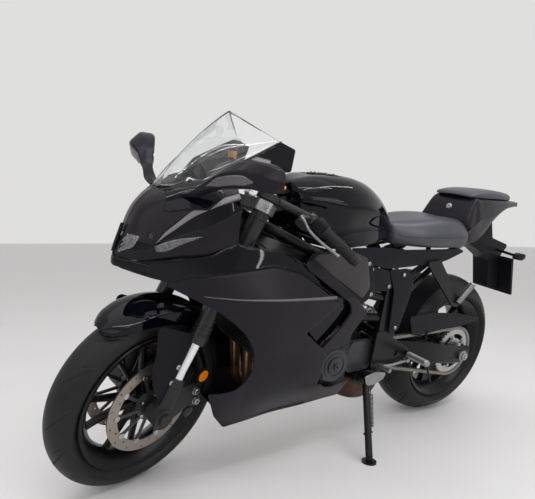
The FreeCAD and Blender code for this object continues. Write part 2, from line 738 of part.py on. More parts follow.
# Tank: wide shoulders in front with hollows for the hands, narrow between the knees.
tank = section_loft(
    [
        (262, 842, 966, 60, 70, 26),
        (200, 818, 1002, 92, 92, 34),
        (110, 800, 1012, 148, 118, 44),
        (0, 796, 1010, 150, 116, 46),
        (-100, 800, 984, 118, 88, 40),
        (-180, 806, 930, 84, 62, 30),
        (-214, 812, 884, 66, 46, 20),
    ]
)
cap_centre = Vector(96, 0, 1011)
cap_radius = 58.0
cap_well = Part.makeCylinder(cap_radius + running_gap, 40, cap_centre - Vector(0, 0, 14))
tank = tank.cut(cap_well)
ring = Part.makeCylinder(cap_radius + running_gap, 12, cap_centre - Vector(0, 0, 14))
ring = ring.cut(Part.makeCylinder(24, 12, cap_centre - Vector(0, 0, 14)))
tank_ears = both(block(100, 124, 118, 134, 715, 830))
tank = tank.multiFuse([ring, tank_ears]).cut(frame)
add("fuel_tank", "chassis", tank)

cap = Part.makeCylinder(cap_radius - 6, 8, cap_centre - Vector(0, 0, 2 - fit_gap))
hinge_pin = rod(cap_centre + Vector(cap_radius - 4, -12, 3), cap_centre + Vector(cap_radius - 4, 12, 3), 6)
add("fuel_cap", "fuel_cap", cap.fuse(hinge_pin))

# Covers beside and under the tank: x, z outlines pressed to a near-flat shell on each side.
knee_cover = plate([(262, 760), (236, 790), (60, 792), (-6, 776), (-60, 640), (-2, 604), (60, 640)], 176, 180, 14)
knee_tie = rod(Vector(125, frame_side + 8, 731), Vector(125, 177, 731), 16)
add("knee_covers", "chassis", both(knee_cover.fuse(knee_tie).cut(frame)))

seat_cover = plate(
    [(44, 790), (-112, 792), (-206, 782), (-536, 782), (-560, 770), (-454, 736), (-250, 718), (-148, 714), (-8, 742)],
    136,
    146,
    8,
)
frame_cover = plate([(-12, 738), (-148, 708), (-184, 640), (-160, 632), (-62, 634)], 140, 146, 10)
rear_cover = plate([(-156, 706), (-250, 712), (-300, 650), (-262, 470), (-214, 462), (-196, 632)], 138, 146, 10)
seat_cover = seat_cover.fuse(rod(Vector(-430, 103, 742), Vector(-430, 138, 742), 14)).cut(subframe)
frame_cover = frame_cover.fuse(rod(Vector(-60, 120, 644), Vector(-60, 142, 644), 14)).cut(frame)
rear_cover = rear_cover.fuse(rod(Vector(-236, 134 + fit_gap, 560), Vector(-236, 140, 560), 16))
add("side_covers", "chassis", both(Part.makeCompound([seat_cover, frame_cover, rear_cover])))

# Seats: the rider's pad between tank and tail, and the raised pad behind it.
rider_seat = section_loft(
    [
        (-222, seat_base, 856, 66, 52, 16),
        (-300, seat_base, 838, 104, 84, 22),
        (-400, seat_base, 836, 134, 112, 24),
        (-490, seat_base, 850, 136, 110, 26),
        (-548, seat_base, 872, 122, 96, 24),
    ]
)
add("rider_seat", "chassis", rider_seat)

tail = section_loft(
    [
        (-470, 875, 900, 84, 80, 8),
        (-552, 800, 972, 118, 92, 16),
        (-690, 784, 976, 116, 92, 16),
        (-806, 822, 976, 98, 82, 14),
        (-900, 906, 974, 76, 68, 12),
        (-1050, 944, 968, 40, 34, 8),
    ]
)
tail = tail.cut(rider_seat).cut(block(-560, -200, -200, 200, 700, 874))
rail_room = pipe(seat_rail, 25 + 2 * fit_gap, 90)
tail = tail.cut(both(rail_room)).cut(rod(Vector(-780, -62, 842), Vector(-780, 62, 842), 22 + 2 * fit_gap))
add("tail_cowl", "chassis", tail)

pillion = section_loft(
    [
        (-556, 976 + fit_gap, 992, 84, 72, 6),
        (-680, 976 + fit_gap, 1004, 88, 74, 8),
        (-800, 976 + fit_gap, 1006, 80, 66, 8),
        (-912, 975 + fit_gap, 1000, 62, 50, 6),
    ]
)
pillion = pillion.cut(tail)
add("pillion_seat", "chassis", pillion)
tail_lamp = block(-1062, -1050 - fit_gap, -30, 30, 946, 964)

# Plate holder under the tail with the stalk indicators.
holder = plate(
    [(-752, 780), (-760, 815), (-830, 862), (-886, 905), (-934, 800), (-1070, 766), (-1030, 716), (-1088, 545), (-984, 566),
     (-946, 694), (-850, 742)],
    -30,
    30,
    10,
)
holder = holder.fuse(plate([(-1028, 716), (-1088, 545), (-1078, 541), (-1018, 700)], -90, 90))
holder = holder.cut(tail)
add("plate_holder", "chassis", holder)
stalk = rod(Vector(-990, 30, 745), Vector(-990, 110, 738), 12)
lamp_pod = section_loft([(-966, 727, 747, 10, 10, 4), (-990, 722, 752, 16, 16, 6), (-1030, 728, 746, 10, 10, 4)])
lamp_pod.translate(Vector(0, 124, 0))
stalk = stalk.fuse(lamp_pod)
stalk = stalk.cut(holder)
add("rear_lamps", "chassis", Part.makeCompound([tail_lamp, stalk, mirrored(stalk)]))

# Side bodywork: one skin through these cross sections, cut to the real panels.
# Columns of a station: x, then (y, z) at the top, belt, crease, flank, foot and bottom edge.
flank_stations = [
    (806, [(16, 800), (24, 762), (22, 736), (18, 700), (12, 670), (6, 650)]),
    (720, [(104, 826), (114, 764), (100, 708), (86, 640), (70, 560), (50, 500)]),
    (640, [(150, 842), (166, 766), (170, 700), (160, 600), (150, 500), (130, 420)]),
    (540, [(184, 850), (206, 764), (214, 680), (208, 540), (196, 380), (168, 290)]),
    (430, [(190, 850), (221, 760), (234, 670), (222, 500), (204, 340), (166, 246)]),
    (290, [(190, 850), (222, 756), (236, 668), (222, 490), (202, 336), (150, 244)]),
    (140, [(186, 850), (218, 750), (230, 662), (218, 480), (198, 334), (146, 244)]),
    (-30, [(178, 850), (210, 744), (220, 656), (208, 476), (188, 334), (138, 246)]),
]
flank = skin(flank_stations, panel_wall)
side_outline = [
    (700, 690), (640, 757), (397, 757), (304, 733), (262, 708), (152, 636), (262, 548), (176, 484), (86, 479),
    (150, 470), (150, 340), (-6, 330), (-10, 248), (180, 240), (480, 240), (522, 290), (556, 372),
    (478, 381), (446, 407), (428, 450), (440, 512), (476, 564), (512, 596), (563, 633), (630, 664),
]
side_cowl = cut_out(flank, side_outline, 10)
side_cowl = side_cowl.fuse(rod(Vector(262, frame_side, 668), Vector(262, 232, 668), 16)).cut(frame)
left_cowl = side_cowl.cut(drum(generator_centre, 74 + running_gap, 130, 260))
right_cowl = mirrored(side_cowl).cut(drum(clutch_centre, clutch_radius + running_gap, -260, -130))
add("side_cowls", "chassis", Part.makeCompound([left_cowl, right_cowl]))

band_top = [(806, 798), (720, 812), (628, 814), (560, 829), (500, 812), (386, 802), (298, 766), (236, 706)]
band_outline = band_top + [
    (262, 708 + panel_gap), (304, 733 + panel_gap), (397, 757 + panel_gap), (640, 757 + panel_gap), (702, 700), (806, 736),
]
upper_band = cut_out(flank, band_outline, 0)
add("upper_cowls", "chassis", both(upper_band))

vent_skin = skin(flank_stations[3:], panel_wall, panel_wall + fit_gap)
vent_outline = [(302, 756), (244, 776), (4, 594), (84, 478), (176, 470), (300, 520), (210, 640)]
vent = cut_out(vent_skin, vent_outline, 12).cut(side_cowl).cut(upper_band)
add("vent_panels", "chassis", both(vent))

# Nose: a hood from the tip to the screen, with the lamp bay in its middle.
# Columns of a station: x, then (y, z) at the centre, shoulder, stripe, lamp line and lower edge.
nose_stations = [
    (806, [(0, 786), (12, 783), (20, 796 - 16), (22, 776), (22, 770)]),
    (776, [(0, 850), (34, 842), (58, 822), (66, 800), (70, 790)]),
    (716, [(0, 930), (66, 914), (100, 876), (112, 834), (110, 816)]),
    (640, [(0, 974), (98, 956), (142, 912), (158, 850), (154, 818)]),
    (580, [(0, 992), (116, 972), (166, 930), (186, 852), (182, 820)]),
    (524, [(0, 1000), (128, 984), (182, 944), (200, 850), (194, 818)]),
]
nose_rings = []
for x, line in nose_stations:
    whole = [(-y, z) for y, z in line[:0:-1]] + line
    ring_points = band(whole, panel_wall)
    nose_rings.append(polygon([Vector(x, y, z) for y, z in ring_points]))
nose = Part.makeLoft(nose_rings, True, False)
room_plan = [(692, 18), (640, 68), (560, 94), (500, 104), (500, -104), (560, -94), (640, -68), (692, -18)]
dash_room = Part.Face(polygon([Vector(x, y, 900) for x, y in room_plan])).extrude(Vector(0, 0, 200))
nose = nose.cut(dash_room)
nose_lower = plate([(840, 700), (840, 798)] + [(x, z + panel_gap) for x, z in band_top[:5]] + [(480, 700)], -300, 300)
nose = nose.cut(nose_lower)

headlamp = section_loft([(700, 782, 838, 44, 40, 10), (752, 782, 836, 34, 30, 10), (776, 786, 820, 22, 20, 8)])
lamp_ears = block(728, 740, -92, 92, 812, 826)
headlamp = headlamp.fuse(lamp_ears).cut(nose)
headlamp = max(headlamp.Solids, key=lambda solid: solid.Volume)
add("headlamp", "chassis", headlamp)

# Screen: a clear double curve from the nose up to its rear edge.
# Columns: x, half width, z at the sides, z at the centre.
screen_rings = []
for x, half, side_z, middle_z in (
    (694, 26, 944, 954),
    (640, 76, 957, 1006),
    (560, 102, 977, 1094),
    (470, 114, 1022, 1182),
    (360, 118, 1078, 1240),
):
    outer = Part.Arc(Vector(x, -half, side_z), Vector(x, 0, middle_z), Vector(x, half, side_z)).toShape()
    inner = Part.Arc(
        Vector(x, -half + screen_wall, side_z), Vector(x, 0, middle_z - screen_wall * 1.4), Vector(x, half - screen_wall, side_z)
    ).toShape()
    foot_left = Part.LineSegment(Vector(x, half, side_z), Vector(x, half - screen_wall, side_z)).toShape()
    foot_right = Part.LineSegment(Vector(x, -half, side_z), Vector(x, -half + screen_wall, side_z)).toShape()
    screen_rings.append(Part.Wire(Part.__sortEdges__([outer, foot_left, inner, foot_right])))
screen = Part.makeLoft(screen_rings, True, False)
screen = screen.common(plate([(720, 900), (720, 980), (494, 1172), (350, 1104), (340, 1080), (560, 960)], -200, 200, 6))
screen = max(screen.cut(nose).Solids, key=lambda solid: solid.Volume)
add("windscreen", "chassis", screen)

wing = plate([(572, 966), (522, 1028), (384, 1100), (322, 1082), (334, 1018), (470, 1000), (530, 962)], 130, 134, 6)
add("screen_wings", "chassis", both(wing.cut(nose)))


# Mirrors on arms from the nose; the left one is folded further back than the right one.
def mirror_body(stations):
    wires = []
    for x, y, z, half_wide, half_high in stations:
        points = [
            Vector(x - half_wide, y, z - half_high),
            Vector(x + half_wide, y, z - half_high),
            Vector(x + half_wide, y, z + half_high),
            Vector(x - half_wide, y, z + half_high),
        ]
        wires.append(rounded_wire(points, min(half_wide, half_high) * 0.8))
    return Part.makeLoft(wires, True, False)


mirror_left = mirror_body(
    [
        (652, 112, 936, 16, 8),
        (646, 160, 946, 18, 9),
        (636, 196, 968, 18, 13),
        (616, 240, 994, 22, 26),
        (572, 300, 1008, 24, 36),
        (530, 342, 1000, 16, 30),
    ]
)
mirror_right = mirror_body(
    [
        (652, -112, 936, 16, 8),
        (652, -160, 950, 18, 9),
        (650, -192, 976, 16, 14),
        (644, -226, 1012, 22, 34),
        (636, -286, 1040, 32, 44),
        (628, -336, 1040, 24, 36),
    ]
)
add("mirrors", "chassis", Part.makeCompound([mirror_left, mirror_right]))
nose = nose.cut(mirror_left).cut(mirror_right)
add("nose_cowl", "chassis", nose)

dash = block(500, 530, -92, 92, 956, 1040)
dash.rotate(Vector(515, 0, 998), Vector(0, 1, 0), -24)
dash_stay = plate([(500, 950), (524, 962), (566, 862), (560, 842), (536, 842)], -8, 8)
add("dash_panel", "chassis", dash.fuse(dash_stay).cut(nose).cut(frame))

# Rests and levers for the feet.
rest_plate = plate([(-142, 486), (-206, 462), (-330, 398), (-346, 362), (-318, 346), (-224, 352), (-168, 318), (-140, 344)], 146 + fit_gap, 154, 12)
rest_plate = rest_plate.cut(drum(Vector(-262, 0, 384), 12, 140, 160))
rest_bosses = [rod(Vector(x, 134 + fit_gap, z), Vector(x, 148, z), 18) for x, z in ((-226, 436), (-214, 345))]
rest_plate = rest_plate.multiFuse(rest_bosses)
peg = rod(Vector(-330, 154, 372), Vector(-312, 252, 382), 20)
feeler = pipe([(-313, 246, 380), (-330, 250, 350), (-352, 254, 304)], 7, 10)
rider_peg = rest_plate.multiFuse([peg, feeler])
shift = pipe([(-322, 166, 352), (-240, 168, 346), (-170, 172, 352)], 10, 20)
shift_toe = rod(Vector(-170, 166, 352), Vector(-170, 214, 354), 15)
shift_pivot = rod(Vector(-322, 154 + fit_gap, 352), Vector(-322, 172, 352), 16)
add("foot_levers", "chassis", both(joined(shift, shift_toe, shift_pivot)))
hanger = plate([(-338, 736), (-412, 742), (-590, 566), (-582, 544), (-548, 548), (-372, 700)], 146 + fit_gap, 154, 8)
rear_peg = rod(Vector(-566, 154, 562), Vector(-608, 176, 644), 20)
add("foot_pegs", "chassis", both(Part.makeCompound([rider_peg, hanger.fuse(rear_peg)])))

# Steered assembly: clamps, legs, axle, bars, fender and calipers.
half_legs = fork_leg_spacing / 2


def leg_point(height, side=half_legs):
    return on_steering_axis(height, fork_offset, side)


def clamp(height):
    """A yoke across the steering axis: stem boss, two leg eyes and the web between them."""
    outline = [
        (-34, 0), (-20, 40), (fork_offset - 30, half_legs + 24), (fork_offset + 12, half_legs + 34),
        (fork_offset + 34, half_legs), (fork_offset + 22, half_legs - 40), (fork_offset - 4, 0),
    ]
    ring = outline + [(forward, -side) for forward, side in outline[-2:0:-1]]
    points = [on_steering_axis(height - clamp_thickness / 2, forward, side) for forward, side in ring]
    return Part.Face(rounded_wire(points, 14)).extrude(steering_up * clamp_thickness)


stem = rod(on_steering_axis(lower_clamp_height), on_steering_axis(upper_clamp_height + 26), stem_diameter)
leg_holes = [rod(leg_point(700, side), leg_point(980, side), outer_tube_diameter + 2 * fit_gap) for side in (half_legs, -half_legs)]
clamps = stem.multiFuse([clamp(lower_clamp_height), clamp(upper_clamp_height)]).cut(Part.makeCompound(leg_holes))
stem_mouth = on_steering_axis(lower_clamp_height - clamp_thickness / 2)
clamps = clamps.cut(rod(stem_mouth - steering_up, stem_mouth + steering_up * stem_bore_depth, 2 * stem_bore))
add("fork_clamps", "steering", clamps)

outer_low = 505.0
outer_tube = rod(leg_point(outer_low), leg_point(upper_clamp_height + 38), outer_tube_diameter)
outer_seal = rod(leg_point(outer_low - 2), leg_point(outer_low + 24), outer_tube_diameter + 8)
outer_tube = outer_tube.fuse(outer_seal).cut(rod(leg_point(outer_low - 10), leg_point(outer_low + 60), inner_tube_diameter + 2 * fit_gap))
add("fork_outer_tubes", "steering", both(outer_tube))

inner_tube = rod(leg_point(384), leg_point(outer_low + 58), inner_tube_diameter)
add("fork_inner_tubes", "steering", both(inner_tube))

casting = rod(leg_point(front_axle.z - 4), leg_point(396), inner_tube_diameter + 12)
axle_boss = drum(front_axle, 33, 78, 132)
caliper_lug = plate([(690, 330), (655, 380), (566, 372), (556, 318), (640, 276), (690, 268)], 96, 114, 12)
casting = casting.multiFuse([axle_boss, caliper_lug]).cut(drum(front_axle, front_bore, 60, 150))
casting = casting.cut(inner_tube)
add("fork_castings", "steering", both(casting))

add("front_axle", "steering", joined(
    drum(front_axle, front_axle_diameter / 2, -139, 139),
    drum(front_axle, 18, 132 + fit_gap, 139),
    drum(front_axle, 18, -139, -132 - fit_gap),
    drum(front_axle, 18, 70, 78 - fit_gap),
    drum(front_axle, 18, -78 + fit_gap, -70),
))

front_slot = running_gap + front_disc_thickness / 2
front_caliper = drum(front_axle, front_disc_radius + 20, front_disc_plane - 25, front_disc_plane + 34 - fit_gap, front_disc_radius - 48)
caliper_sector = plate([(697, 300), (500, 260), (500, 400), (600, 400)], 20, 110)
front_caliper = front_caliper.common(caliper_sector)
front_caliper = front_caliper.cut(
    drum(front_axle, front_disc_radius + running_gap, front_disc_plane - front_slot, front_disc_plane + front_slot)
)
add("front_calipers", "steering", both(front_caliper))

bar_run = bar_end - bar_root
bar_run.normalize()
bar = rod(bar_root, bar_end - bar_run * 14, bar_diameter)
bar_collar = Part.makeCylinder(outer_tube_diameter / 2 + 9, 20, leg_point(upper_clamp_height + 18), steering_up)
collar_bore = rod(leg_point(upper_clamp_height), leg_point(upper_clamp_height + 60), outer_tube_diameter + 2 * fit_gap)
bar_arm = rod(leg_point(upper_clamp_height + 28), bar_root + bar_run * 6, 24)
weight = rod(bar_end - bar_run * 14, bar_end, grip_diameter - 4)
handlebar = bar_collar.multiFuse([bar_arm, bar, weight]).cut(collar_bore)
add("handlebars", "steering", both(handlebar))

grip_start = bar_root + bar_run * 66
grip_end = bar_end - bar_run * (14 + fit_gap)
grip = rod(grip_start, grip_end, grip_diameter).cut(rod(bar_root, bar_end, bar_diameter + 2 * fit_gap))
add("grips", "steering", both(grip))
switch = rod(bar_root + bar_run * 26, bar_root + bar_run * (66 - fit_gap), 46)
switch = switch.cut(rod(bar_root, bar_end, bar_diameter + 2 * fit_gap))
add("switch_housings", "steering", both(switch))

lever_pivot = bar_root + bar_run * 14 + Vector(44, 0, 6)
lever = pipe([tuple(lever_pivot), tuple(bar_root + bar_run * 60 + Vector(64, 0, 2)), tuple(bar_root + bar_run * 168 + Vector(60, 0, 2))], 11, 60)
lever_perch = rod(bar_root + bar_run * 3, bar_root + bar_run * 25, 36).cut(rod(bar_root, bar_end, bar_diameter + 2 * fit_gap))
perch_arm = rod(bar_root + bar_run * 14 + Vector(15, 0, 2), lever_pivot, 16)
add("hand_levers", "steering", both(joined(lever, lever_perch, perch_arm).cut(handlebar)))

# Front fender over the tyre with its side guards on the fork legs.
fender_inner = front_tyre_radius + 14
fender_half = 72.0
fender = drum(front_axle, fender_inner + 4, -fender_half, fender_half, fender_inner)
fender_cheeks = drum(front_axle, fender_inner + 4, fender_half - 4, fender_half, fender_inner - 46)
fender = fender.multiFuse([fender_cheeks, mirrored(fender_cheeks)])
fender_sector = plate([(697, 300), (886, 560), (886, 700), (340, 700), (380, 470)], -100, 100)
fender = fender.common(fender_sector)
guard_side = plate([(640, 560), (560, 600), (520, 560), (560, 430), (600, 400), (668, 420), (676, 470)], 72, 76, 14)
guard_lugs = [rod(Vector(x, 74, z), Vector(x, 84, z), 16) for x, z in ((598, 536), (582, 572))]
guard_side = guard_side.multiFuse(guard_lugs)
fender = fender.multiFuse([guard_side, mirrored(guard_side)])
fender = fender.cut(nodes["fork_castings"][1]).cut(nodes["fork_outer_tubes"][1]).cut(nodes["fork_inner_tubes"][1])
add("front_fender", "steering", fender)

# Where the bike stands: the steered wheel and the lean set the height and the small pitch.
steering_turn = FreeCAD.Placement(Vector(0, 0, 0), FreeCAD.Rotation(steering_up, steering_at_rest), steering_foot)


def tyre_bottom(placement, centre, spin, radius, crown):
    """Lowest point of a tyre whose tread is a ring of round section."""
    middle = placement.multVec(centre)
    axis = placement.Rotation.multVec(spin)
    return middle.z - (radius - crown) * math.sqrt(1 - axis.z ** 2) - crown


left = Vector(0, 1, 0)
pitch = 0.0
lift = 0.0
for attempt in range(30):
    leaned = FreeCAD.Placement(Vector(0, 0, lift), FreeCAD.Rotation(Vector(1, 0, 0), -lean)).multiply(
        FreeCAD.Placement(Vector(0, 0, 0), FreeCAD.Rotation(Vector(0, 1, 0), pitch))
    )
    front_low = tyre_bottom(leaned.multiply(steering_turn), front_axle, left, front_tyre_radius, front_crown_radius)
    rear_low = tyre_bottom(leaned, rear_axle, left, rear_tyre_radius, rear_crown_radius)
    pitch += math.degrees((front_low - rear_low) / wheelbase)
    lift -= (front_low + rear_low) / 2

# Side stand: a leg from the pivot to the foot that rests on the floor.
to_bike = leaned.inverse()
floor_up = to_bike.Rotation.multVec(Vector(0, 0, 1))
foot_spot = leaned.multVec(Vector(stand_foot_x, stand_foot_reach, 60))
foot_spot = to_bike.multVec(Vector(foot_spot.x, foot_spot.y, 0))
leg_end = foot_spot + floor_up * 22
leg_line = leg_end - stand_pivot
foot_pad = Part.makeCylinder(24, 7, foot_spot, floor_up)
leg = rod(stand_pivot + leg_line * 0.1, leg_end, stand_leg_diameter)
ankle = rod(foot_spot + floor_up * 3, leg_end + floor_up * 4, 24)
stand_eye = rod(stand_pivot - stand_axis * 8, stand_pivot + stand_axis * 12, 44)
hook_spot = stand_pivot + leg_line * 0.72
spring_hook = rod(hook_spot - Vector(20, 0, 0), hook_spot + Vector(20, 0, 0), 7)
tongue = rod(stand_pivot + stand_axis + leg_line * 0.03, stand_pivot + stand_axis + leg_line * 0.2, 16)
stand = joined(leg, tongue, foot_pad, ankle, stand_eye, spring_hook)
stand = stand.cut(rod(stand_pivot - stand_axis * 30, stand_pivot + stand_axis * 30, 12 + 2 * fit_gap))
add("side_stand", "side_stand", stand)

# Every piece goes to its place, and the origin to the middle of the floor area.
low = Vector(1e9, 1e9, 1e9)
high = Vector(-1e9, -1e9, -1e9)
placed = {}
for name, (body, shape) in nodes.items():
    steered = body in ("steering", "front_wheel")
    placement = leaned.multiply(steering_turn) if steered else leaned
    solid = shape.copy()
    solid = solid.transformed(placement.toMatrix(), True)
    box = solid.optimalBoundingBox(False)
    low = Vector(min(low.x, box.XMin), min(low.y, box.YMin), min(low.z, box.ZMin))
    high = Vector(max(high.x, box.XMax), max(high.y, box.YMax), max(high.z, box.ZMax))
    placed[name] = solid

shift_to_origin = Vector(-(low.x + high.x) / 2, -(low.y + high.y) / 2, 0)
os.makedirs("parts", exist_ok=True)
for name, solid in placed.items():
    solid.translate(shift_to_origin)
    solid.exportStep("parts/" + name + ".step")

final = FreeCAD.Placement(shift_to_origin, FreeCAD.Rotation()).multiply(leaned)
final_steered = final.multiply(steering_turn)


def report_point(label, placement, point, direction):
    place = placement.multVec(point)
    way = placement.Rotation.multVec(direction)
    print("%s %.4f %.4f %.4f %.6f %.6f %.6f" % (label, place.x, place.y, place.z, way.x, way.y, way.z))


print("size %.1f %.1f %.1f, lowest %.3f, pitch %.3f" % (high.x - low.x, high.y - low.y, high.z - low.z, low.z, pitch))
for name, (body, shape) in nodes.items():
    print("node", name, body)
report_point("joint steering", final, on_steering_axis(upper_clamp_height), steering_up)
report_point("joint front_wheel", final_steered, front_axle, left)
report_point("joint rear_wheel", final, rear_axle, left)
report_point("joint side_stand", final, stand_pivot, stand_axis)
report_point("joint fuel_cap", final, cap_centre + Vector(cap_radius - 4, 0, 3), left)
report_point("mount lift_spool_left", final, Vector(spool_spot.x, 147, spool_spot.z), left)
report_point("mount lift_spool_right", final, Vector(spool_spot.x, -147, spool_spot.z), left * -1)
report_point("mount stem_bore", final_steered, stem_mouth, steering_up * -1)
report_point("origin", final, Vector(0, 0, 0), Vector(1, 0, 0))
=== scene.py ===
import json
import bpy
import numpy as np
from mathutils import Matrix, Vector
from mathutils.geometry import delaunay_2d_cdt


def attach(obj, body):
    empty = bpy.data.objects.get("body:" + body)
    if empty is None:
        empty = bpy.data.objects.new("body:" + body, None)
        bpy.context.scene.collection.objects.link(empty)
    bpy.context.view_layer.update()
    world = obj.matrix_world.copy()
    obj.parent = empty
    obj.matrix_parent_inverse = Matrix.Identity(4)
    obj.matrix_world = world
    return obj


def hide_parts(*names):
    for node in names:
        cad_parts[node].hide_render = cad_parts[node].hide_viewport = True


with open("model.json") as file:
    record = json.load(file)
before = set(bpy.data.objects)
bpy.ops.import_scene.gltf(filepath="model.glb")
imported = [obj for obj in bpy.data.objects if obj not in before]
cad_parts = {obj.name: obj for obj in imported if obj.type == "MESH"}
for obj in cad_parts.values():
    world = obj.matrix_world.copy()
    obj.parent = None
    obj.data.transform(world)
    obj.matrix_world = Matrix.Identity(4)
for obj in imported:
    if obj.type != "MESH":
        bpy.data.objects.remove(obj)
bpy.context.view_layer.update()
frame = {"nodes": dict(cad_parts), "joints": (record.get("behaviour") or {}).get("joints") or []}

# Tyres: black road rubber, a round crown with long curved grooves, and a sidewall with fine ribs
# and one painted balance dot. Each tyre is a ring of rubber clamped between the rim's flanges.
# Shapes are written for the upright, straight bike in millimetres and then stood on its stand.
lean, pitch, steer = np.radians([12.5, 0.181, 15.5])
wheelbase, rake, trail_offset = 1395.0, np.radians(23.67), 38.0
front_hub = np.array([wheelbase / 2, 0.0, 300.0])
rear_hub = np.array([-wheelbase / 2, 0.0, 315.0])


def turn_about(axis, angle):
    """Rotation matrix: cosine of the angle, sine with the axis crossed in, and the axis' own share."""
    x, y, z = np.asarray(axis, float) / np.linalg.norm(axis)
    cross = np.array([[0, -z, y], [z, 0, -x], [-y, x, 0]])
    return np.eye(3) + np.sin(angle) * cross + (1 - np.cos(angle)) * (cross @ cross)


parked = turn_about((1, 0, 0), -lean) @ turn_about((0, 1, 0), pitch)
joints = {joint["name"]: joint for joint in frame["joints"]}
parked_origin = np.array(joints["rear_wheel_spin"]["pos_m"]) - parked @ rear_hub * 0.001
steering_up = np.array([-np.sin(rake), 0, np.cos(rake)])
steering_foot = np.array([wheelbase / 2 + 300 * np.tan(rake) - trail_offset / np.cos(rake), 0, 0])
steering_turn = turn_about(steering_up, steer)


def upright(points):
    """Millimetres on the upright bike to metres where it stands: turned, then moved."""
    return np.asarray(points, float) @ parked.T * 0.001 + parked_origin


def steered(points):
    """The same for a piece on the fork: first turned about the steering axis."""
    return upright((np.asarray(points, float) - steering_foot) @ steering_turn.T + steering_foot)


def grid_mesh(grid, close_rows=False, close_columns=False):
    """Points and quads of a grid of points; a closed direction joins its last line to its first."""
    rows, columns = grid.shape[:2]
    row = np.arange(rows if close_rows else rows - 1)[:, None]
    column = np.arange(columns if close_columns else columns - 1)[None]
    below, beside = (row + 1) % rows, (column + 1) % columns
    upper, lower = row * columns, below * columns
    corners = (upper + column, lower + column, lower + beside, upper + beside)
    return grid.reshape(-1, 3), np.stack(np.broadcast_arrays(*corners), -1).reshape(-1, 4)


def piece(
    name, parts, body, material, place=upright, replaces=(), crease=40, wall=0.0, rim=0.0, shell=False,
):
    """One object from lists of points and faces, riding on a body. Faces are turned outwards, unless
    it is a shell, whose faces already look the right way. Wall and rim are in millimetres."""
    points, faces, count = [], [], 0
    for part_points, part_faces in parts:
        points.append(place(part_points))
        faces += (np.asarray(part_faces) + count).tolist()
        count += len(part_points)
    mesh = bpy.data.meshes.new(name)
    mesh.from_pydata(np.concatenate(points).tolist(), [], faces)
    thing = bpy.data.objects.new(name, mesh)
    bpy.context.collection.objects.link(thing)
    bpy.context.view_layer.objects.active = thing
    for other in bpy.context.selected_objects:
        other.select_set(False)
    thing.select_set(True)
    bpy.ops.object.mode_set(mode="EDIT")
    bpy.ops.mesh.select_all(action="SELECT")
    bpy.ops.mesh.remove_doubles(threshold=1e-6)
    if not shell:
        bpy.ops.mesh.normals_make_consistent(inside=False)
    bpy.ops.object.mode_set(mode="OBJECT")
    mesh.shade_smooth()
    mesh.set_sharp_from_angle(angle=np.radians(crease))
    if wall:
        sheet = thing.modifiers.new("wall", "SOLIDIFY")
        sheet.thickness, sheet.offset = wall * 0.001, -1
    if rim:
        edge = thing.modifiers.new("edge", "BEVEL")
        edge.width, edge.segments, edge.angle_limit = rim * 0.001, 2, np.radians(55)
    mesh.materials.append(material)
    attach(thing, body)
    if replaces:
        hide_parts(*replaces)
    return thing


class Socket:
    """A value in a material. Arithmetic on it adds the Math nodes for the expression."""

    def __init__(self, finish, link):
        self.finish, self.link = finish, link

    def maths(self, operation, first, second):
        return self.finish.node("ShaderNodeMath", {"operation": operation}, {0: first, 1: second})

    def __add__(self, other):
        return self.maths("ADD", self, other)

    def __mul__(self, other):
        return self.maths("MULTIPLY", self, other)

    def __rsub__(self, other):
        return self.maths("SUBTRACT", other, self)


class Finish:
    """A material built from nodes; node() is the one way to add any of them."""

    def __init__(self, name):
        self.material = bpy.data.materials.new(name)
        self.material.use_nodes = True
        self.tree = self.material.node_tree
        self.tree.nodes.clear()
        self.place = self.node("ShaderNodeTexCoord", out="Object")

    def node(self, kind, settings=None, sockets=None, out=0):
        made = self.tree.nodes.new(kind)
        for key, value in (settings or {}).items():
            setattr(made, key, value)
        for key, value in (sockets or {}).items():
            if isinstance(value, Socket):
                self.tree.links.new(value.link, made.inputs[key])
            else:
                made.inputs[key].default_value = value
        return Socket(self, made.outputs[out]) if len(made.outputs) else made

    def noise(self, size, detail=3.0, rough=0.5):
        """Cloudy pattern with patches about size millimetres across."""
        scale = {"Scale": 1000.0 / size, "Detail": detail, "Roughness": rough, "Vector": self.place}
        return self.node("ShaderNodeTexNoise", None, scale, "Fac")

    def blend(self, share, first, second):
        """One colour into another by a share from 0 to 1."""
        return self.node("ShaderNodeMix", {"data_type": "RGBA"}, {0: share, 6: first, 7: second}, 2)

    def spread(self, value, low, high, floor, ceiling):
        """A value's band from low to high stretched to floor..ceiling and held there outside it."""
        sockets = {"Value": value, 1: low, 2: high, 3: floor, 4: ceiling}
        return self.node("ShaderNodeMapRange", {"clamp": True}, sockets)

    def bump(self, height, depth):
        """A surface normal from a height pattern, depth in millimetres."""
        sockets = {"Height": height, "Distance": depth * 0.001, "Strength": 1.0}
        return self.node("ShaderNodeBump", None, sockets)

    def surface(self, **sockets):
        """The surface shader; plain numbers stay on its own sockets."""
        named = {key.replace("_", " "): value for key, value in sockets.items()}
        shader = self.node("ShaderNodeBsdfPrincipled", None, named)
        self.node("ShaderNodeOutputMaterial", None, {"Surface": shader})
        return self.material


def rubber_finish(name, shade, rough):
    finish = Finish(name)
    dust = finish.noise(60, 4)
    grain = finish.noise(0.8, 2)
    clean, dusty = (shade, shade, shade * 1.04, 1), (shade * 1.9, shade * 1.8, shade * 1.75, 1)
    return finish.surface(
        Base_Color=finish.blend(finish.spread(dust, 0.35, 0.75, 0.0, 1.0), clean, dusty),
        Roughness=finish.spread(dust, 0.3, 0.7, rough, rough + 0.16),
        Specular_IOR_Level=0.22, Normal=finish.bump(grain, 0.15),
    )


tyre_rubber = rubber_finish("tyre rubber", 0.007, 0.4)


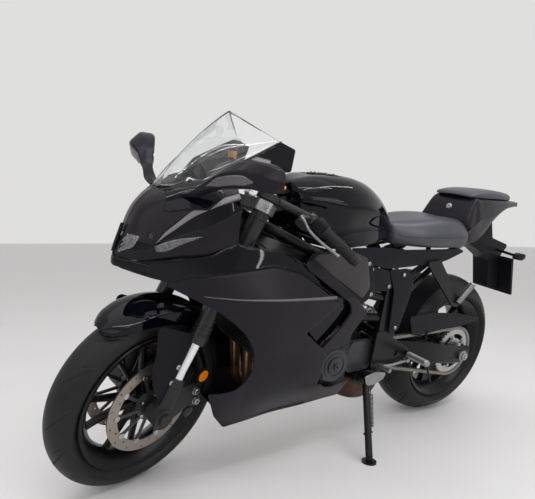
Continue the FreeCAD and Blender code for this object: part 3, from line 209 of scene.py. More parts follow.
def tyre_grid(hub, radius, half_width, crown, bead, grooves, steps=720):
    """A ring: round crown, bulged sidewalls to the bead, flat inside; grooves are sunk along it."""
    bead_radius, lip_radius, side_rows, groove_depth, groove_slope = 216.4, 231.0, 13, 3.2, 1.6
    angle = np.arcsin(half_width / crown)
    tread = np.linspace(-angle, angle, 61)
    crown_y, crown_r = crown * np.sin(tread), radius - crown + crown * np.cos(tread)
    side = np.linspace(0, 1, side_rows)[1:]
    bulge_y, bulge_r = half_width + 1.0, (crown_r[-1] + lip_radius) / 2 + 4
    wall_y = (1 - side) ** 2 * half_width + 2 * side * (1 - side) * bulge_y + side ** 2 * bead
    wall_r = (1 - side) ** 2 * crown_r[-1] + 2 * side * (1 - side) * bulge_r + side ** 2 * lip_radius
    wall_y = wall_y + 0.7 * (np.sin(side * np.pi * 7) > 0.3) * (side > 0.2) * (side < 0.95)
    across = np.concatenate([[-bead], -wall_y[::-1], crown_y, wall_y, [bead]])
    out = np.concatenate([[bead_radius], wall_r[::-1], crown_r, wall_r, [bead_radius]])
    spin = np.linspace(0, 2 * np.pi, steps, endpoint=False)[:, None]
    share = np.concatenate([np.full(side_rows, -1.3), tread / angle, np.full(side_rows, 1.3)])[None]
    sunk = np.zeros((steps, len(across)))
    for count, shift, start, end, sweep, width in grooves:
        for side_sign in (-1, 1):
            reach = share * side_sign
            pitch_place = spin * count / (2 * np.pi) + (0.5 if side_sign < 0 else 0.0)
            phase = pitch_place + shift - sweep * (reach - start)
            gap = np.abs(phase - np.round(phase)) * 2 * np.pi * radius / count
            inside = np.clip((reach - start) * 14, 0, 1) * np.clip((end - reach) * 14, 0, 1)
            sunk = np.maximum(sunk, np.clip((width - gap) / groove_slope, 0, 1) * inside)
    lift = out[None] - sunk * groove_depth
    across = np.broadcast_to(across[None], lift.shape)
    grid = np.stack([hub[0] + lift * np.cos(spin), across, hub[2] + lift * np.sin(spin)], -1)
    return grid_mesh(grid, True, True)


# Grooves: how many round the tyre, shift, where across they start and end, sweep back, half width
front_grooves = [(14, 0.0, 0.10, 0.86, 0.85, 2.8), (14, 0.5, 0.38, 0.93, 0.5, 2.3)]
rear_grooves = [(12, 0.0, 0.14, 0.84, 1.0, 3.2), (12, 0.5, 0.42, 0.92, 0.55, 2.6)]
piece(
    "front_tyre_rubber", [tyre_grid(front_hub, 300, 60, 62, 44.5, front_grooves)],
    "front_wheel", tyre_rubber, steered, ("front_tyre",), 60,
)
piece(
    "rear_tyre_rubber", [tyre_grid(rear_hub, 315, 90, 94, 70, rear_grooves)],
    "rear_wheel", tyre_rubber, upright, ("rear_tyre",), 60,
)


def lathe(profile, start, axis, segments=48, close=True):
    """Profile of (radius, height) turned about an axis from start; ends at radius 0 close it."""
    axis = np.asarray(axis, float) / np.linalg.norm(axis)
    side = np.cross(axis, (0.0, 0.0, 1.0) if abs(axis[2]) < 0.9 else (1.0, 0.0, 0.0))
    side /= np.linalg.norm(side)
    other = np.cross(axis, side)
    radius, height = np.asarray(profile, float).T
    spin = np.linspace(0, 2 * np.pi, segments, endpoint=False)[:, None, None]
    ring = np.cos(spin) * side + np.sin(spin) * other
    grid = np.asarray(start, float) + ring * radius[None, :, None] + axis * height[None, :, None]
    return grid_mesh(grid, True, close)


dot_finish = Finish("balance dot paint")
grain = dot_finish.noise(1.2, 2)
yellow_paint = dot_finish.surface(
    Base_Color=dot_finish.blend(grain, (0.75, 0.62, 0.04, 1), (0.6, 0.496, 0.032, 1)), Roughness=0.5,
)
for name, hub, out, wall_y, angle, body, place in (
    ("front_tyre_dot", front_hub, 262, 59.2, -128, "front_wheel", steered),
    ("rear_tyre_dot", rear_hub, 262, 87.5, 150, "rear_wheel", upright),
):
    spot = hub + [out * np.cos(np.radians(angle)), wall_y, out * np.sin(np.radians(angle))]
    disc = lathe([(0, 0), (5, 0), (5, 0.8), (4, 1.4), (0, 1.4)], spot, (0, 1, 0), 24, False)
    piece(name, [disc], body, yellow_paint, place)


# Rims: cast light alloy under satin black paint, ten spokes in five pairs that splay from the hub
# to the barrel. The barrel and hub are turned shapes and the spokes are swept blades.
def swept(path, across, up, sections, round_by=0.5):
    """Blade along a path: each section is half width, half height; its outline is a rounded box."""
    path, sections = np.asarray(path, float), np.asarray(sections, float)
    turn = np.linspace(0, 2 * np.pi, 20, endpoint=False)
    shape_x = np.sign(np.cos(turn)) * np.abs(np.cos(turn)) ** round_by
    shape_y = np.sign(np.sin(turn)) * np.abs(np.sin(turn)) ** round_by
    side = np.asarray(across, float)[None, None] if np.ndim(across) == 1 else np.asarray(across)[:, None]
    rise = np.asarray(up, float)[None, None] if np.ndim(up) == 1 else np.asarray(up)[:, None]
    width = sections[:, 0, None, None] * shape_x[None, :, None]
    height = sections[:, 1, None, None] * shape_y[None, :, None]
    return path[:, None] + side * width + rise * height


def capped(grid):
    """A swept grid with both ends closed by a middle point."""
    first = np.repeat(grid[:1].mean(1, keepdims=True), grid.shape[1], 1)
    last = np.repeat(grid[-1:].mean(1, keepdims=True), grid.shape[1], 1)
    return grid_mesh(np.concatenate([first, grid, last]), False, True)


def painted_metal(name, colour, rough, grain=1.4, depth=0.05, coat=0.0, metal=0.0, gleam=0.2):
    finish = Finish(name)
    dirt, fine = finish.noise(90, 4), finish.noise(grain, 2)
    darker = (*[c * 0.7 for c in colour], 1)
    return finish.surface(
        Base_Color=finish.blend(finish.spread(dirt, 0.35, 0.7, 0, 1), (*colour, 1), darker),
        Roughness=finish.spread(fine, 0.3, 0.7, rough - 0.05, rough + 0.07),
        Metallic=metal, Specular_IOR_Level=0.5 if metal > 0.5 else gleam, Coat_Weight=coat,
        Coat_Roughness=0.15, Coat_IOR=1.35, Normal=finish.bump(fine, depth),
    )


wheel_paint = painted_metal("wheel paint", (0.004, 0.004, 0.005), 0.3, coat=0.2, gleam=0.15)


def cast_rim(hub, bead, hub_radius, hub_half, bore):
    """Barrel and hub turned about the axle, and ten spokes that start in pairs 24 mm apart."""
    seat, lip, spoke_end = 216.0, bead + 7.5, 191
    outline = [
        (seat + 9, -lip), (seat + 12, -lip + 3), (seat + 12, -bead - 0.4), (seat - 0.4, -bead - 0.4),
        (seat - 0.4, -bead + 14), (seat - 18, -bead + 26), (seat - 24, -bead + 34), (seat - 24, bead - 34),
        (seat - 18, bead - 26), (seat - 0.4, bead - 14), (seat - 0.4, bead + 0.4), (seat + 12, bead + 0.4),
        (seat + 12, lip - 3), (seat + 9, lip), (seat + 4, lip - 1), (seat - 7, lip - 7),
        (seat - 22, bead - 20), (seat - 31, bead - 32), (seat - 31, -bead + 32), (seat - 22, -bead + 20),
        (seat - 7, -lip + 7), (seat + 4, -lip + 1), (seat + 9, -lip),
    ]
    parts = [lathe(outline, hub, (0, 1, 0), 160, False)]
    sleeve = [
        (bore, -hub_half), (hub_radius - 4, -hub_half), (hub_radius, -hub_half + 5),
        (hub_radius, hub_half - 5), (hub_radius - 4, hub_half), (bore, hub_half), (bore, -hub_half),
    ]
    parts.append(lathe(sleeve, hub, (0, 1, 0), 64, False))
    reach = np.linspace(0, 1, 12)
    out = hub_radius - 6 + reach * (spoke_end - hub_radius + 6)
    apart = 12 + 38 * reach ** 1.25
    flare = 9 * np.clip(1 - reach / 0.18, 0, 1) ** 2 + 7 * np.clip((reach - 0.86) / 0.14, 0, 1) ** 2
    half_wide = 9.0 - 3.0 * reach + flare
    half_deep = np.interp(reach, [0, 0.3, 1], [20, 14.5, 11]) + flare * 0.6
    for turn in range(10):
        sign = 1 if turn % 2 else -1
        angle = np.radians(72 * (turn // 2))
        along = np.array([np.cos(angle), 0, np.sin(angle)])
        beside = np.array([-np.sin(angle), 0, np.cos(angle)])
        line = hub + along * out[:, None] + beside * (sign * apart)[:, None]
        parts.append(capped(swept(line, beside, (0, 1, 0), np.stack([half_wide, half_deep], 1), 0.62)))
    return parts


piece(
    "front_cast_rim", cast_rim(front_hub, 44.5, 32, 46, 12.8),
    "front_wheel", wheel_paint, steered, ("front_rim",), 38,
)
piece(
    "rear_cast_rim", cast_rim(rear_hub, 70, 40, 78, 12.8),
    "rear_wheel", wheel_paint, upright, ("rear_rim",), 38,
)


# Brake discs: ground steel rings with a warm grey brushed face, drilled, on dark carrier arms that
# hold them by ten turned bobbins. The band and the arms are told apart by distance from the axle.
def dress(material, *names):
    for name in names:
        mesh = frame["nodes"][name].data
        mesh.materials.clear()
        mesh.materials.append(material)


def from_line(finish, point, axis):
    """Distance of the surface from a straight line: length of the arm crossed with the line."""
    arm = finish.node("ShaderNodeVectorMath", {"operation": "SUBTRACT"}, {0: finish.place, 1: tuple(point)})
    side = finish.node("ShaderNodeVectorMath", {"operation": "CROSS_PRODUCT"}, {0: arm, 1: tuple(axis)})
    return finish.node("ShaderNodeVectorMath", {"operation": "LENGTH"}, {0: side}, "Value")


def disc_steel(name, hub, place, band):
    """Brushed steel outside the band's inner radius, dark paint on the carrier inside it."""
    finish = Finish(name)
    middle = place([hub])[0]
    axis = place([hub + np.array([0, 1.0, 0])])[0] - middle
    out = from_line(finish, middle, axis / np.linalg.norm(axis)) * 1000
    ring = finish.spread(out, band - 0.6, band + 0.6, 0, 1)
    swept_face = finish.spread(out, band + 1.5, band + 3.0, 0, 1)
    brushed = {"W": out * 1.7, "Scale": 1.0, "Detail": 3.0}
    rings = finish.node("ShaderNodeTexNoise", {"noise_dimensions": "1D"}, brushed)
    face = finish.blend(rings, (0.24, 0.2, 0.18, 1), (0.42, 0.37, 0.33, 1))
    return finish.surface(
        Base_Color=finish.blend(ring, (0.02, 0.02, 0.022, 1), face), Metallic=ring * 0.9,
        Roughness=finish.spread(rings, 0.3, 0.7, 0.28, 0.4) * swept_face + (1 - swept_face) * 0.42,
        Normal=finish.bump(rings, 0.05),
    )


dress(disc_steel("front disc steel", front_hub, steered, 115), "front_discs")
dress(disc_steel("rear disc steel", rear_hub, upright, 90), "rear_disc")
bright_steel = painted_metal("bright steel", (0.55, 0.55, 0.56), 0.25, 0.6, 0.02, metal=1.0)


def around(middle, radius, count, start=0.0):
    """Points evenly round a circle in side view, the first at a start angle in degrees."""
    angle = np.radians(360 / count * np.arange(count) + start)
    return np.asarray(middle, float) + radius * np.stack([np.cos(angle), 0 * angle, np.sin(angle)], 1)


bobbin = [(0, 0), (4, 0), (4, 1.4), (7.5, 1.8), (9, 1.2), (9, 0), (9, -5)]
buttons = [
    lathe(bobbin, spot + [0, side * 64.6, 0], (0, side, 0), 20, False)
    for spot in around(front_hub, 116, 10) for side in (-1, 1)
]
piece("disc_bobbins", buttons, "front_wheel", bright_steel, steered)

# Carrier bolts: five domed steel screws with a socket hold each front disc to the hub. They are
# turned shapes on a circle round the axle, and turn with the wheel.
disc_screw = [(0, 4), (2.4, 4), (2.4, 2.2), (4.6, 2.2), (5.6, 0.8), (5.6, -1)]
screws = [
    lathe(disc_screw, spot + [0, side * 64.3, 0], (0, side, 0), 18, False)
    for spot in around(front_hub, 38, 5, 36) for side in (-1, 1)
]
piece("disc_screws", screws, "front_wheel", bright_steel, steered)

# Chain and sprocket: oiled steel links over a grey toothed ring, darker in patches of oil. Five
# hexagon nuts hold the ring to the hub.
chain_metal = painted_metal("oiled chain steel", (0.23, 0.21, 0.19), 0.34, 3.0, 0.05, metal=0.9)
sprocket_metal = painted_metal("sprocket steel", (0.5, 0.49, 0.47), 0.3, 1.0, 0.03, metal=1.0)
dress(chain_metal, "drive_chain")
dress(sprocket_metal, "rear_sprocket")
nut = [(0, 9), (4, 9), (4, 7), (8.6, 7), (9.2, 6), (9.2, 0)]
nuts = [lathe(nut, spot, (0, 1, 0), 6, False) for spot in around(rear_hub + [0, 106.9, 0], 64, 5)]
piece("sprocket_nuts", nuts, "rear_wheel", bright_steel)

# Engine: die-cast cases under satin dark grey paint with a sand-like grain, one bolted cover each
# side. Each cover's rim carries nine bolts, and a hexagon plug sits in the middle of the left one.
case_paint = painted_metal("engine case paint", (0.016, 0.016, 0.018), 0.42, 2.2, 0.18)
cover_paint = painted_metal("cover paint", (0.03, 0.029, 0.033), 0.34, 1.2, 0.06, coat=0.2)
dress(case_paint, "engine_block")
dress(cover_paint, "engine_covers")
left_cover, right_cover = np.array([70, 150.0, 392]), np.array([-20, -170.0, 392])
left_bolt = [(8.5, -16), (8.5, 3), (7, 4.5), (5.5, 4.5), (5.5, 9), (3, 9), (3, 6), (0, 6)]
right_bolt = [(8, -12), (8, 3), (6, 4.5), (5.5, 4.5), (5.5, 9), (3, 9), (3, 6), (0, 6)]
cover_bolts = [lathe(left_bolt, spot, (0, 1, 0), 16, False) for spot in around(left_cover, 69, 9, 12)]
cover_bolts += [lathe(right_bolt, spot, (0, -1, 0), 16, False) for spot in around(right_cover, 84, 9)]
ring_step = [(46, -2), (46, 1.6), (44, 2.4), (40, 2.4), (38, 1.6), (38, -2)]
plug_rim, plug = [(30, -2), (30, 4), (27, 6), (21, 6)], [(12, -2), (12, 5), (9, 6), (5, 6), (5, 1), (0, 1)]
for profile, reach, segments in ((ring_step, 30, 64), (plug_rim, 30, 48), (plug, 36, 6)):
    cover_bolts.append(lathe(profile, left_cover + [0, reach, 0], (0, 1, 0), segments, False))
piece("cover_bolts", cover_bolts, "chassis", cover_paint)

# Radiator: black painted aluminium core with its header tanks, in front of the cylinders. The
# solid's own mesh is shown.
core_paint = painted_metal("radiator paint", (0.02, 0.02, 0.021), 0.5, 1.0, 0.2)
dress(core_paint, "radiator")


# Exhaust: bare steel pipes gone copper-brown with heat, with straw coloured clouds, and a darker
# brown on the silencer box.
def tinted_steel(name, cool, hot, rough):
    """Steel whose two heat colours meet in clouds about 70 mm across."""
    finish = Finish(name)
    cloud, fine = finish.noise(70, 3), finish.noise(1.6, 2)
    tint = finish.blend(finish.spread(cloud, 0.3, 0.7, 0, 1), (*cool, 1), (*hot, 1))
    return finish.surface(
        Base_Color=tint, Metallic=0.85, Roughness=finish.spread(fine, 0.3, 0.7, rough, rough + 0.12),
        Normal=finish.bump(fine, 0.05),
    )


dress(tinted_steel("header steel", (0.11, 0.06, 0.045), (0.5, 0.29, 0.16), 0.24), "exhaust_headers")
dress(tinted_steel("silencer steel", (0.02, 0.014, 0.013), (0.09, 0.05, 0.035), 0.4), "silencer")

# Frame, subframe and swingarm: welded steel tube and plate under satin black enamel, with grey zinc
# on the shock absorber, the rear axle and its nut. Chain guard and plate holder are moulded.
enamel = painted_metal("frame enamel", (0.005, 0.005, 0.0065), 0.34, 2.0, 0.05, coat=0.15, gleam=0.15)
zinc = painted_metal("zinc plate", (0.42, 0.42, 0.41), 0.32, 0.8, 0.03, metal=1.0)
dress(enamel, "main_frame", "subframe", "swingarm", "rear_caliper")
dress(zinc, "shock_absorber", "rear_axle")
nut_profile = [(0, 12), (9, 12), (9, 9), (17, 9), (18, 8), (18, 0)]
axle_nut = lathe(nut_profile, rear_hub + [0, 158.2, 0], (0, 1, 0), 6, False)
plate_profile = [(0, 2.2), (21, 2.2), (23, 1), (23, -1)]
adjuster_plate = lathe(plate_profile, rear_hub + [0, 156.4, 0], (0, 1, 0), 40, False)
piece("axle_nuts", [axle_nut, adjuster_plate], "chassis", zinc)
moulded = painted_metal("moulded black plastic", (0.007, 0.006, 0.0095), 0.46, 0.9, 0.12, gleam=0.12)
dress(moulded, "chain_guard", "plate_holder")

# Foot rests and levers: bare forged aluminium, ribbed on top of the peg, on black hangers.
bare_alloy = painted_metal("bead blasted alloy", (0.36, 0.36, 0.365), 0.38, 0.7, 0.05, metal=1.0)
dress(bare_alloy, "foot_levers")
dress(enamel, "foot_pegs")
pegs = []
rider_peg = ((-330, 158, 372), (-311.5, 254, 382.2), 12.5)
pillion_peg = ((-566, 158, 562), (-609, 177.5, 646), 12)
for side in (-1, 1):
    for start, end, girth in (rider_peg, pillion_peg):
        first, last = np.array(start, float), np.array(end, float)
        length = np.linalg.norm(last - first)
        ribs = [(0, 0)]
        for step in np.arange(4, length - 6, 8):
            ribs += [(girth - 2.2, step), (girth, step + 1.2), (girth, step + 4.4), (girth - 2.2, step + 5.6)]
        ribs += [(girth - 1, length - 4), (girth + 0.6, length - 3)]
        ribs += [(girth - 1.5, length + 1), (0, length + 1.5)]
        flip = np.array([1, side, 1])
        pegs.append(lathe(ribs, first * flip, (last - first) * flip, 24, False))
piece("peg_sleeves", pegs, "chassis", bare_alloy)

# Side bodywork: moulded plastic panels 3 mm thick, screwed along their edges, with a dark joint of
# about a millimetre between neighbours. Lower panels are satin, the band above them is glossy.
# One skin runs through the flank's cross sections, sharp along its crease, and each panel is a
# patch of it: an outline in side view, filled with triangles and laid on the skin.
def through(knots, values, at, sharp=()):
    """Smooth curve through values at rising knots: cubic pieces whose slope at a knot is the mean
    of both sides, the nearer side weighing more; at a sharp knot each side keeps its own."""
    at = np.asarray(at, float)
    knots = np.broadcast_to(np.asarray(knots, float), at.shape + np.shape(knots)[-1:])
    values = np.broadcast_to(np.asarray(values, float), knots.shape)
    wide = np.diff(knots)
    rate = np.diff(values) / wide
    before = np.concatenate([rate[..., :1], rate], -1)
    after = np.concatenate([rate, rate[..., -1:]], -1)
    near = np.concatenate([wide[..., :1], wide], -1)
    far = np.concatenate([wide, wide[..., -1:]], -1)
    arrive = (before * far + after * near) / (near + far)
    leave = arrive.copy()
    for knot in sharp:
        arrive[..., knot], leave[..., knot] = before[..., knot], after[..., knot]
    span = np.clip((knots <= at[..., None]).sum(-1) - 1, 0, knots.shape[-1] - 2)[..., None]

    def pick(table, shift=0):
        return np.take_along_axis(table, span + shift, -1)[..., 0]

    length = pick(wide)
    share = np.clip((at - pick(knots)) / length, 0, 1)
    rest = 1 - share
    return (
        (1 + 2 * share) * rest ** 2 * pick(values) + share * rest ** 2 * length * pick(leave)
        + (1 + 2 * rest) * share ** 2 * pick(values, 1) - rest * share ** 2 * length * pick(arrive, 1)
    )


flank_stations = np.array([
    (806, 8, 790, 12, 752, 14, 734, 12, 700, 10, 670, 6, 650),
    (768, 44, 800, 52, 752, 52, 722, 44, 690, 36, 640, 26, 600),
    (720, 84, 826, 96, 764, 96, 708, 84, 640, 70, 560, 50, 500),
    (640, 142, 842, 156, 766, 166, 680, 156, 600, 146, 500, 130, 420),
    (540, 176, 850, 194, 764, 217, 673, 203, 540, 190, 380, 166, 290),
    (430, 176, 850, 204, 760, 239, 669, 216, 500, 194, 340, 162, 246),
    (290, 176, 850, 205, 756, 240, 662, 216, 490, 192, 336, 146, 244),
    (140, 176, 850, 203, 750, 234, 656, 212, 480, 188, 334, 142, 244),
    (-30, 172, 850, 202, 744, 222, 648, 204, 476, 182, 334, 138, 246),
], float)[::-1]


def flank(x, z, inset=0.0):
    """Half width of the body: the six columns smoothed along x, then along z with the crease kept."""
    columns = [through(flank_stations[:, 0], column, x) for column in flank_stations.T[1:]]
    across, up = np.stack(columns[0::2][::-1], -1), np.stack(columns[1::2][::-1], -1)
    return through(up, across, z, (3,)) - inset


def crease_line():
    """The flank's crease in side view, which no triangle of a panel may cross."""
    x = np.linspace(-60, 812, 110)
    return np.stack([x, through(flank_stations[:, 0], flank_stations[:, 6], x)], 1)


def eased(outline, radius):
    """Outline with each corner drawn as a parabola that starts and ends a radius away from it."""
    outline = np.asarray(outline, float)
    before, after = np.roll(outline, 1, 0) - outline, np.roll(outline, -1, 0) - outline
    points = []
    for corner, back, on in zip(outline, before, after):
        reach_back, reach_on = np.linalg.norm(back), np.linalg.norm(on)
        first = corner + back * min(radius / reach_back, 0.46)
        last = corner + on * min(radius / reach_on, 0.46)
        share = np.linspace(0, 1, 6)[:, None]
        points.append((1 - share) ** 2 * first + 2 * share * (1 - share) * corner + share ** 2 * last)
    return np.concatenate(points)


def holds(points, outline):
    """Even-odd test: whether a ray from each point crosses the outline an odd number of times."""
    x, y = points[:, :1], points[:, 1:]
    (from_x, from_y), (to_x, to_y) = outline.T, np.roll(outline, -1, 0).T
    crosses = (from_y > y) != (to_y > y)
    level = np.where(from_y == to_y, 1.0, to_y - from_y)
    return (crosses & (x < from_x + (y - from_y) * (to_x - from_x) / level)).sum(1) % 2 == 1


def stepped(line, step, closed=True):
    """A line of points with more put between them, none further apart than the step."""
    ends = np.roll(line, -1, 0) if closed else line[1:]
    runs = []
    for first, last in zip(line, ends):
        count = max(1, int(np.ceil(np.linalg.norm(last - first) / step)))
        runs.append(first + (last - first) * (np.arange(count) / count)[:, None])
    return np.concatenate(runs if closed else runs + [line[-1:]])


def filled(outline, step, lines=()):
    """Triangles over an outline in a plane: its edge, the given lines and an even lattice inside."""
    border = stepped(np.asarray(outline, float), step)
    runs = [stepped(np.asarray(line, float), step, False) for line in lines]
    low, high = border.min(0), border.max(0)
    lattice = []
    for index, row in enumerate(np.arange(low[1], high[1], step * 0.87)):
        across = np.arange(low[0] + (index % 2) * step / 2, high[0], step)
        lattice.append(np.stack([across, np.full_like(across, row)], 1))
    lattice, drawn = np.concatenate(lattice), np.concatenate([border] + runs)
    for start in range(0, len(drawn), 200):
        gap = np.linalg.norm(lattice[:, None] - drawn[None, start:start + 200], axis=2).min(1)
        lattice = lattice[gap > step * 0.55]
    count = len(border)
    edges = [(index, (index + 1) % count) for index in range(count)]
    for run in runs:
        edges += [(count + index, count + index + 1) for index in range(len(run) - 1)]
        count += len(run)
    flat = [Vector(point) for point in np.concatenate([drawn, lattice])]
    corners, _, faces, *_ = delaunay_2d_cdt(flat, edges, [], 0, 1e-4)
    corners, faces = np.array([tuple(corner) for corner in corners]), np.array(faces)
    used, faces = np.unique(faces[holds(corners[faces].mean(1), border)], return_inverse=True)
    return corners[used], faces.reshape(-1, 3)


def side_panel(outline, step, inset=0.0, lines=()):
    """A filled outline laid on the left flank, its faces turned to the left."""
    flat, faces = filled(outline, step, (crease_line(), *lines))
    x, z = flat.T
    return np.stack([x, flank(x, z, inset), z], 1), faces[:, ::-1]


def pierced(outline, step, x, z, radius):
    """A side panel without the round part through which an engine cover looks out."""
    turn = np.linspace(0, 2 * np.pi, 72, endpoint=False)
    rim = np.stack([x + radius * np.cos(turn), z + radius * np.sin(turn)], 1)
    points, faces = side_panel(outline, step, 0.0, (np.vstack([rim, rim[:1]]),))
    middle = points[faces].mean(1)[:, [0, 2]]
    return points, faces[np.linalg.norm(middle - [x, z], axis=1) > radius]


def mirrored(part):
    """A part on the other side of the bike, its faces turned about so that they look outwards."""
    points, faces = part
    return np.asarray(points) * [1, -1, 1], np.asarray(faces)[:, ::-1]


def panels(
    name, left_parts, material, crease, wall, rim=0.0, replaces=(), body="chassis", place=upright,
):
    """One piece from left-hand shells with a wall and from their mirror images on the right."""
    pairs = left_parts + [mirrored(part) for part in left_parts]
    return piece(name, pairs, body, material, place, replaces, crease, wall, rim, True)


def lacquer(name, colour, rough, peel=0.006):
    """Glossy paint: dark base under a clear coat with a faint orange peel."""
    finish = Finish(name)
    wave = finish.noise(14, 1)
    haze = finish.noise(120, 3)
    return finish.surface(
        Base_Color=(*colour, 1), Roughness=finish.spread(haze, 0.3, 0.7, rough, rough + 0.05),
        Specular_IOR_Level=0.0, Coat_Weight=0.85, Coat_Roughness=0.03, Coat_IOR=1.33,
        Normal=finish.bump(wave, peel),
    )


satin_paint = painted_metal(
    "satin body paint", (0.0105, 0.0084, 0.0128), 0.3, 0.7, 0.01, coat=0.04, gleam=0.15,
)
gloss_paint = lacquer("gloss black lacquer", (0.0015, 0.0015, 0.0035), 0.12)
side_outline = [
    (690, 688), (682, 698), (640, 720), (560, 734), (490, 744), (397, 754), (304, 733), (262, 708),
    (152, 636), (262, 548), (176, 484), (86, 479), (150, 470), (150, 340), (-6, 330), (-10, 248),
    (180, 240), (480, 240), (522, 290), (556, 372), (478, 381), (446, 407), (428, 450), (440, 512),
    (476, 564), (512, 596), (563, 633), (630, 664),
]
side_round = eased(side_outline, 9)
left_part = pierced(side_round, 7.0, 70, 392, 79)
right_part = mirrored(pierced(side_round, 7.0, -20, 392, 93))
piece(
    "lower_side_panels", [left_part, right_part], "chassis", satin_paint,
    upright, ("side_cowls",), 14, 3.0, 0.9, True,
)

# Side stripes: one plain strip of pale film along the crease of each side panel, a third of a
# millimetre thick. It widens from the front to the rear.
stripe_x = np.linspace(606, 172, 90)
crease_z = through(flank_stations[:, 0], flank_stations[:, 6], stripe_x)
stripe_wide = np.interp(stripe_x, [172, 300, 606], [9.0, 7.0, 2.0])
stripe_z = crease_z[:, None] - 1 + stripe_wide[:, None] * np.linspace(0, 1, 4)
stripe_x = np.broadcast_to(stripe_x[:, None], stripe_z.shape)
stripe_grid = np.stack([stripe_x, flank(stripe_x, stripe_z, -0.35), stripe_z], -1)
decal = painted_metal("stripe film", (0.115, 0.1, 0.115), 0.34, 0.7, 0.01, gleam=0.3)
panels("side_stripes", [grid_mesh(stripe_grid[::-1])], decal, 60, 0.3)

# Upper bands: the glossy moulded strip between the side panel and the nose. Its upper front edge is
# the line on which the nose ends.
band_top = [
    (806, 744), (775, 741), (748, 744), (728, 750), (696, 758), (663, 768), (629, 775), (593, 784),
    (557, 804), (522, 820), (490, 812), (386, 802), (298, 766), (236, 706),
]
band_outline = band_top + [
    (262, 708.8), (304, 733.8), (397, 754.8), (490, 744.8), (560, 734.8), (640, 720.8), (684, 699),
    (720, 701), (763, 708), (792, 714), (806, 726),
]
band_part = side_panel(eased(band_outline, 5), 7.0)
panels("upper_bands", [band_part], gloss_paint, 14, 3.0, 0.9, ("upper_cowls",))

# Vents behind the side panels: a bent satin limb, and inside it a glossy wall set 18 mm deeper with
# a lip that joins the two.
limb_outline = [
    (86.5, 478.2), (7, 594), (244, 772), (281, 768), (280, 745), (102, 634), (85, 600), (110, 560),
    (174, 483.2),
]
limb_part = side_panel(eased(limb_outline, 8), 6.0)
panels("vent_limbs", [limb_part], satin_paint, 14, 3.0, 0.9, ("vent_panels",))
well_depth = 18.0
well_outline = [
    (170, 478), (96, 560), (70, 604), (92, 650), (280, 762), (300, 738), (250, 706), (146, 640), (250, 552),
]
well_part = side_panel(eased(well_outline, 4), 8.0, well_depth)
inner_edge = eased([(176, 480), (110, 560), (85, 600), (102, 634), (282, 748), (282, 700)], 8)[6:-6]
lip_x, lip_z = stepped(inner_edge, 6.0, False).T
lip_y = flank(lip_x, lip_z)
lip = [np.stack([lip_x, lip_y - depth, lip_z], 1) for depth in (0.6, well_depth / 2, well_depth + 1)]
lip_part = grid_mesh(np.stack(lip, 1))
panels("vent_wells", [well_part, lip_part], gloss_paint, 30, 1.6)

# Belly pan: a satin moulded floor between the lower edges of the side panels, its front end drawn
# up a little. It stops short of the front wheel's turning circle.
belly_x, belly_share = np.linspace(150, 470, 40)[:, None], np.linspace(-1, 1, 30)
belly_y = belly_share * flank(belly_x[:, 0], np.full(40, 262.0), 4.0)[:, None]
belly_z = 246 + 12 * np.clip((belly_x - 400) / 70, 0, 1) ** 2 + 8 * belly_share ** 4
belly = grid_mesh(np.stack(np.broadcast_arrays(belly_x, belly_y, belly_z), -1))
piece("belly_pan", [belly], "chassis", satin_paint, upright, (), 30, 3.0, 0.0, True)

# Nose: one satin hood from the tip to the screen, with a chamfer down each side whose light grey is a
# painted highlight, the bright line its ridge catches, a glossy cheek under it and a satin facet below.
# Each station has x and then y, z of its centre, shoulder, stripe, lamp line and lower edge; the surface
# is smooth along x and sharp at stripe and lamp line.
nose_stations = np.array([
    (806, 0, 752, 6, 751, 10, 749, 12, 747, 12, 744),
    (797, 0, 776, 12, 773, 18, 766, 20, 758, 19, 743),
    (783, 0, 815, 24, 806, 38, 786, 40, 766, 36, 740),
    (768, 0, 860, 36, 844, 60, 800, 62, 772, 50, 740),
    (721, 0, 926, 64, 902, 99, 801, 100, 791, 90, 748),
    (702, 0, 940, 76, 916, 111, 822, 112, 810, 103, 755),
    (681, 0, 954, 86, 930, 124, 843, 125, 822, 117, 761),
    (640, 0, 974, 100, 956, 146, 882, 148, 844, 144, 771),
    (612, 0, 983, 109, 965, 156, 899, 159, 853, 160, 779),
    (580, 0, 992, 118, 973, 168, 917, 173, 871, 174, 790),
    (524, 0, 1000, 128, 984, 182, 941, 192, 910, 193, 818),
], float)[::-1]


def hood(x, column):
    """Point of the nose at x and at a column from 0, the centre, to 4, the lower edge."""
    lines = [through(nose_stations[:, 0], line, x) for line in nose_stations.T[1:]]
    across, up = np.stack(lines[0::2], -1), np.stack(lines[1::2], -1)
    places = np.arange(5.0)
    return np.stack([x, through(places, across, column, (2, 3)), through(places, up, column, (2, 3))], -1)


def hood_strip(x, start, stop, count):
    """A strip of the hood between two column curves, as a grid."""
    share = np.linspace(0, 1, count)[None]
    column = start[:, None] * (1 - share) + stop[:, None] * share
    return grid_mesh(hood(np.broadcast_to(x[:, None], column.shape), column))


def column_at(x, want, axis):
    """Column where the hood's y or z has the wanted value, by halving the range."""
    low, high = np.zeros_like(x), np.full_like(x, 4.0)
    for _ in range(30):
        middle = (low + high) / 2
        value = hood(x, middle)[:, axis]
        under = value < want if axis == 1 else value > want
        low, high = np.where(under, middle, low), np.where(under, high, middle)
    return (low + high) / 2


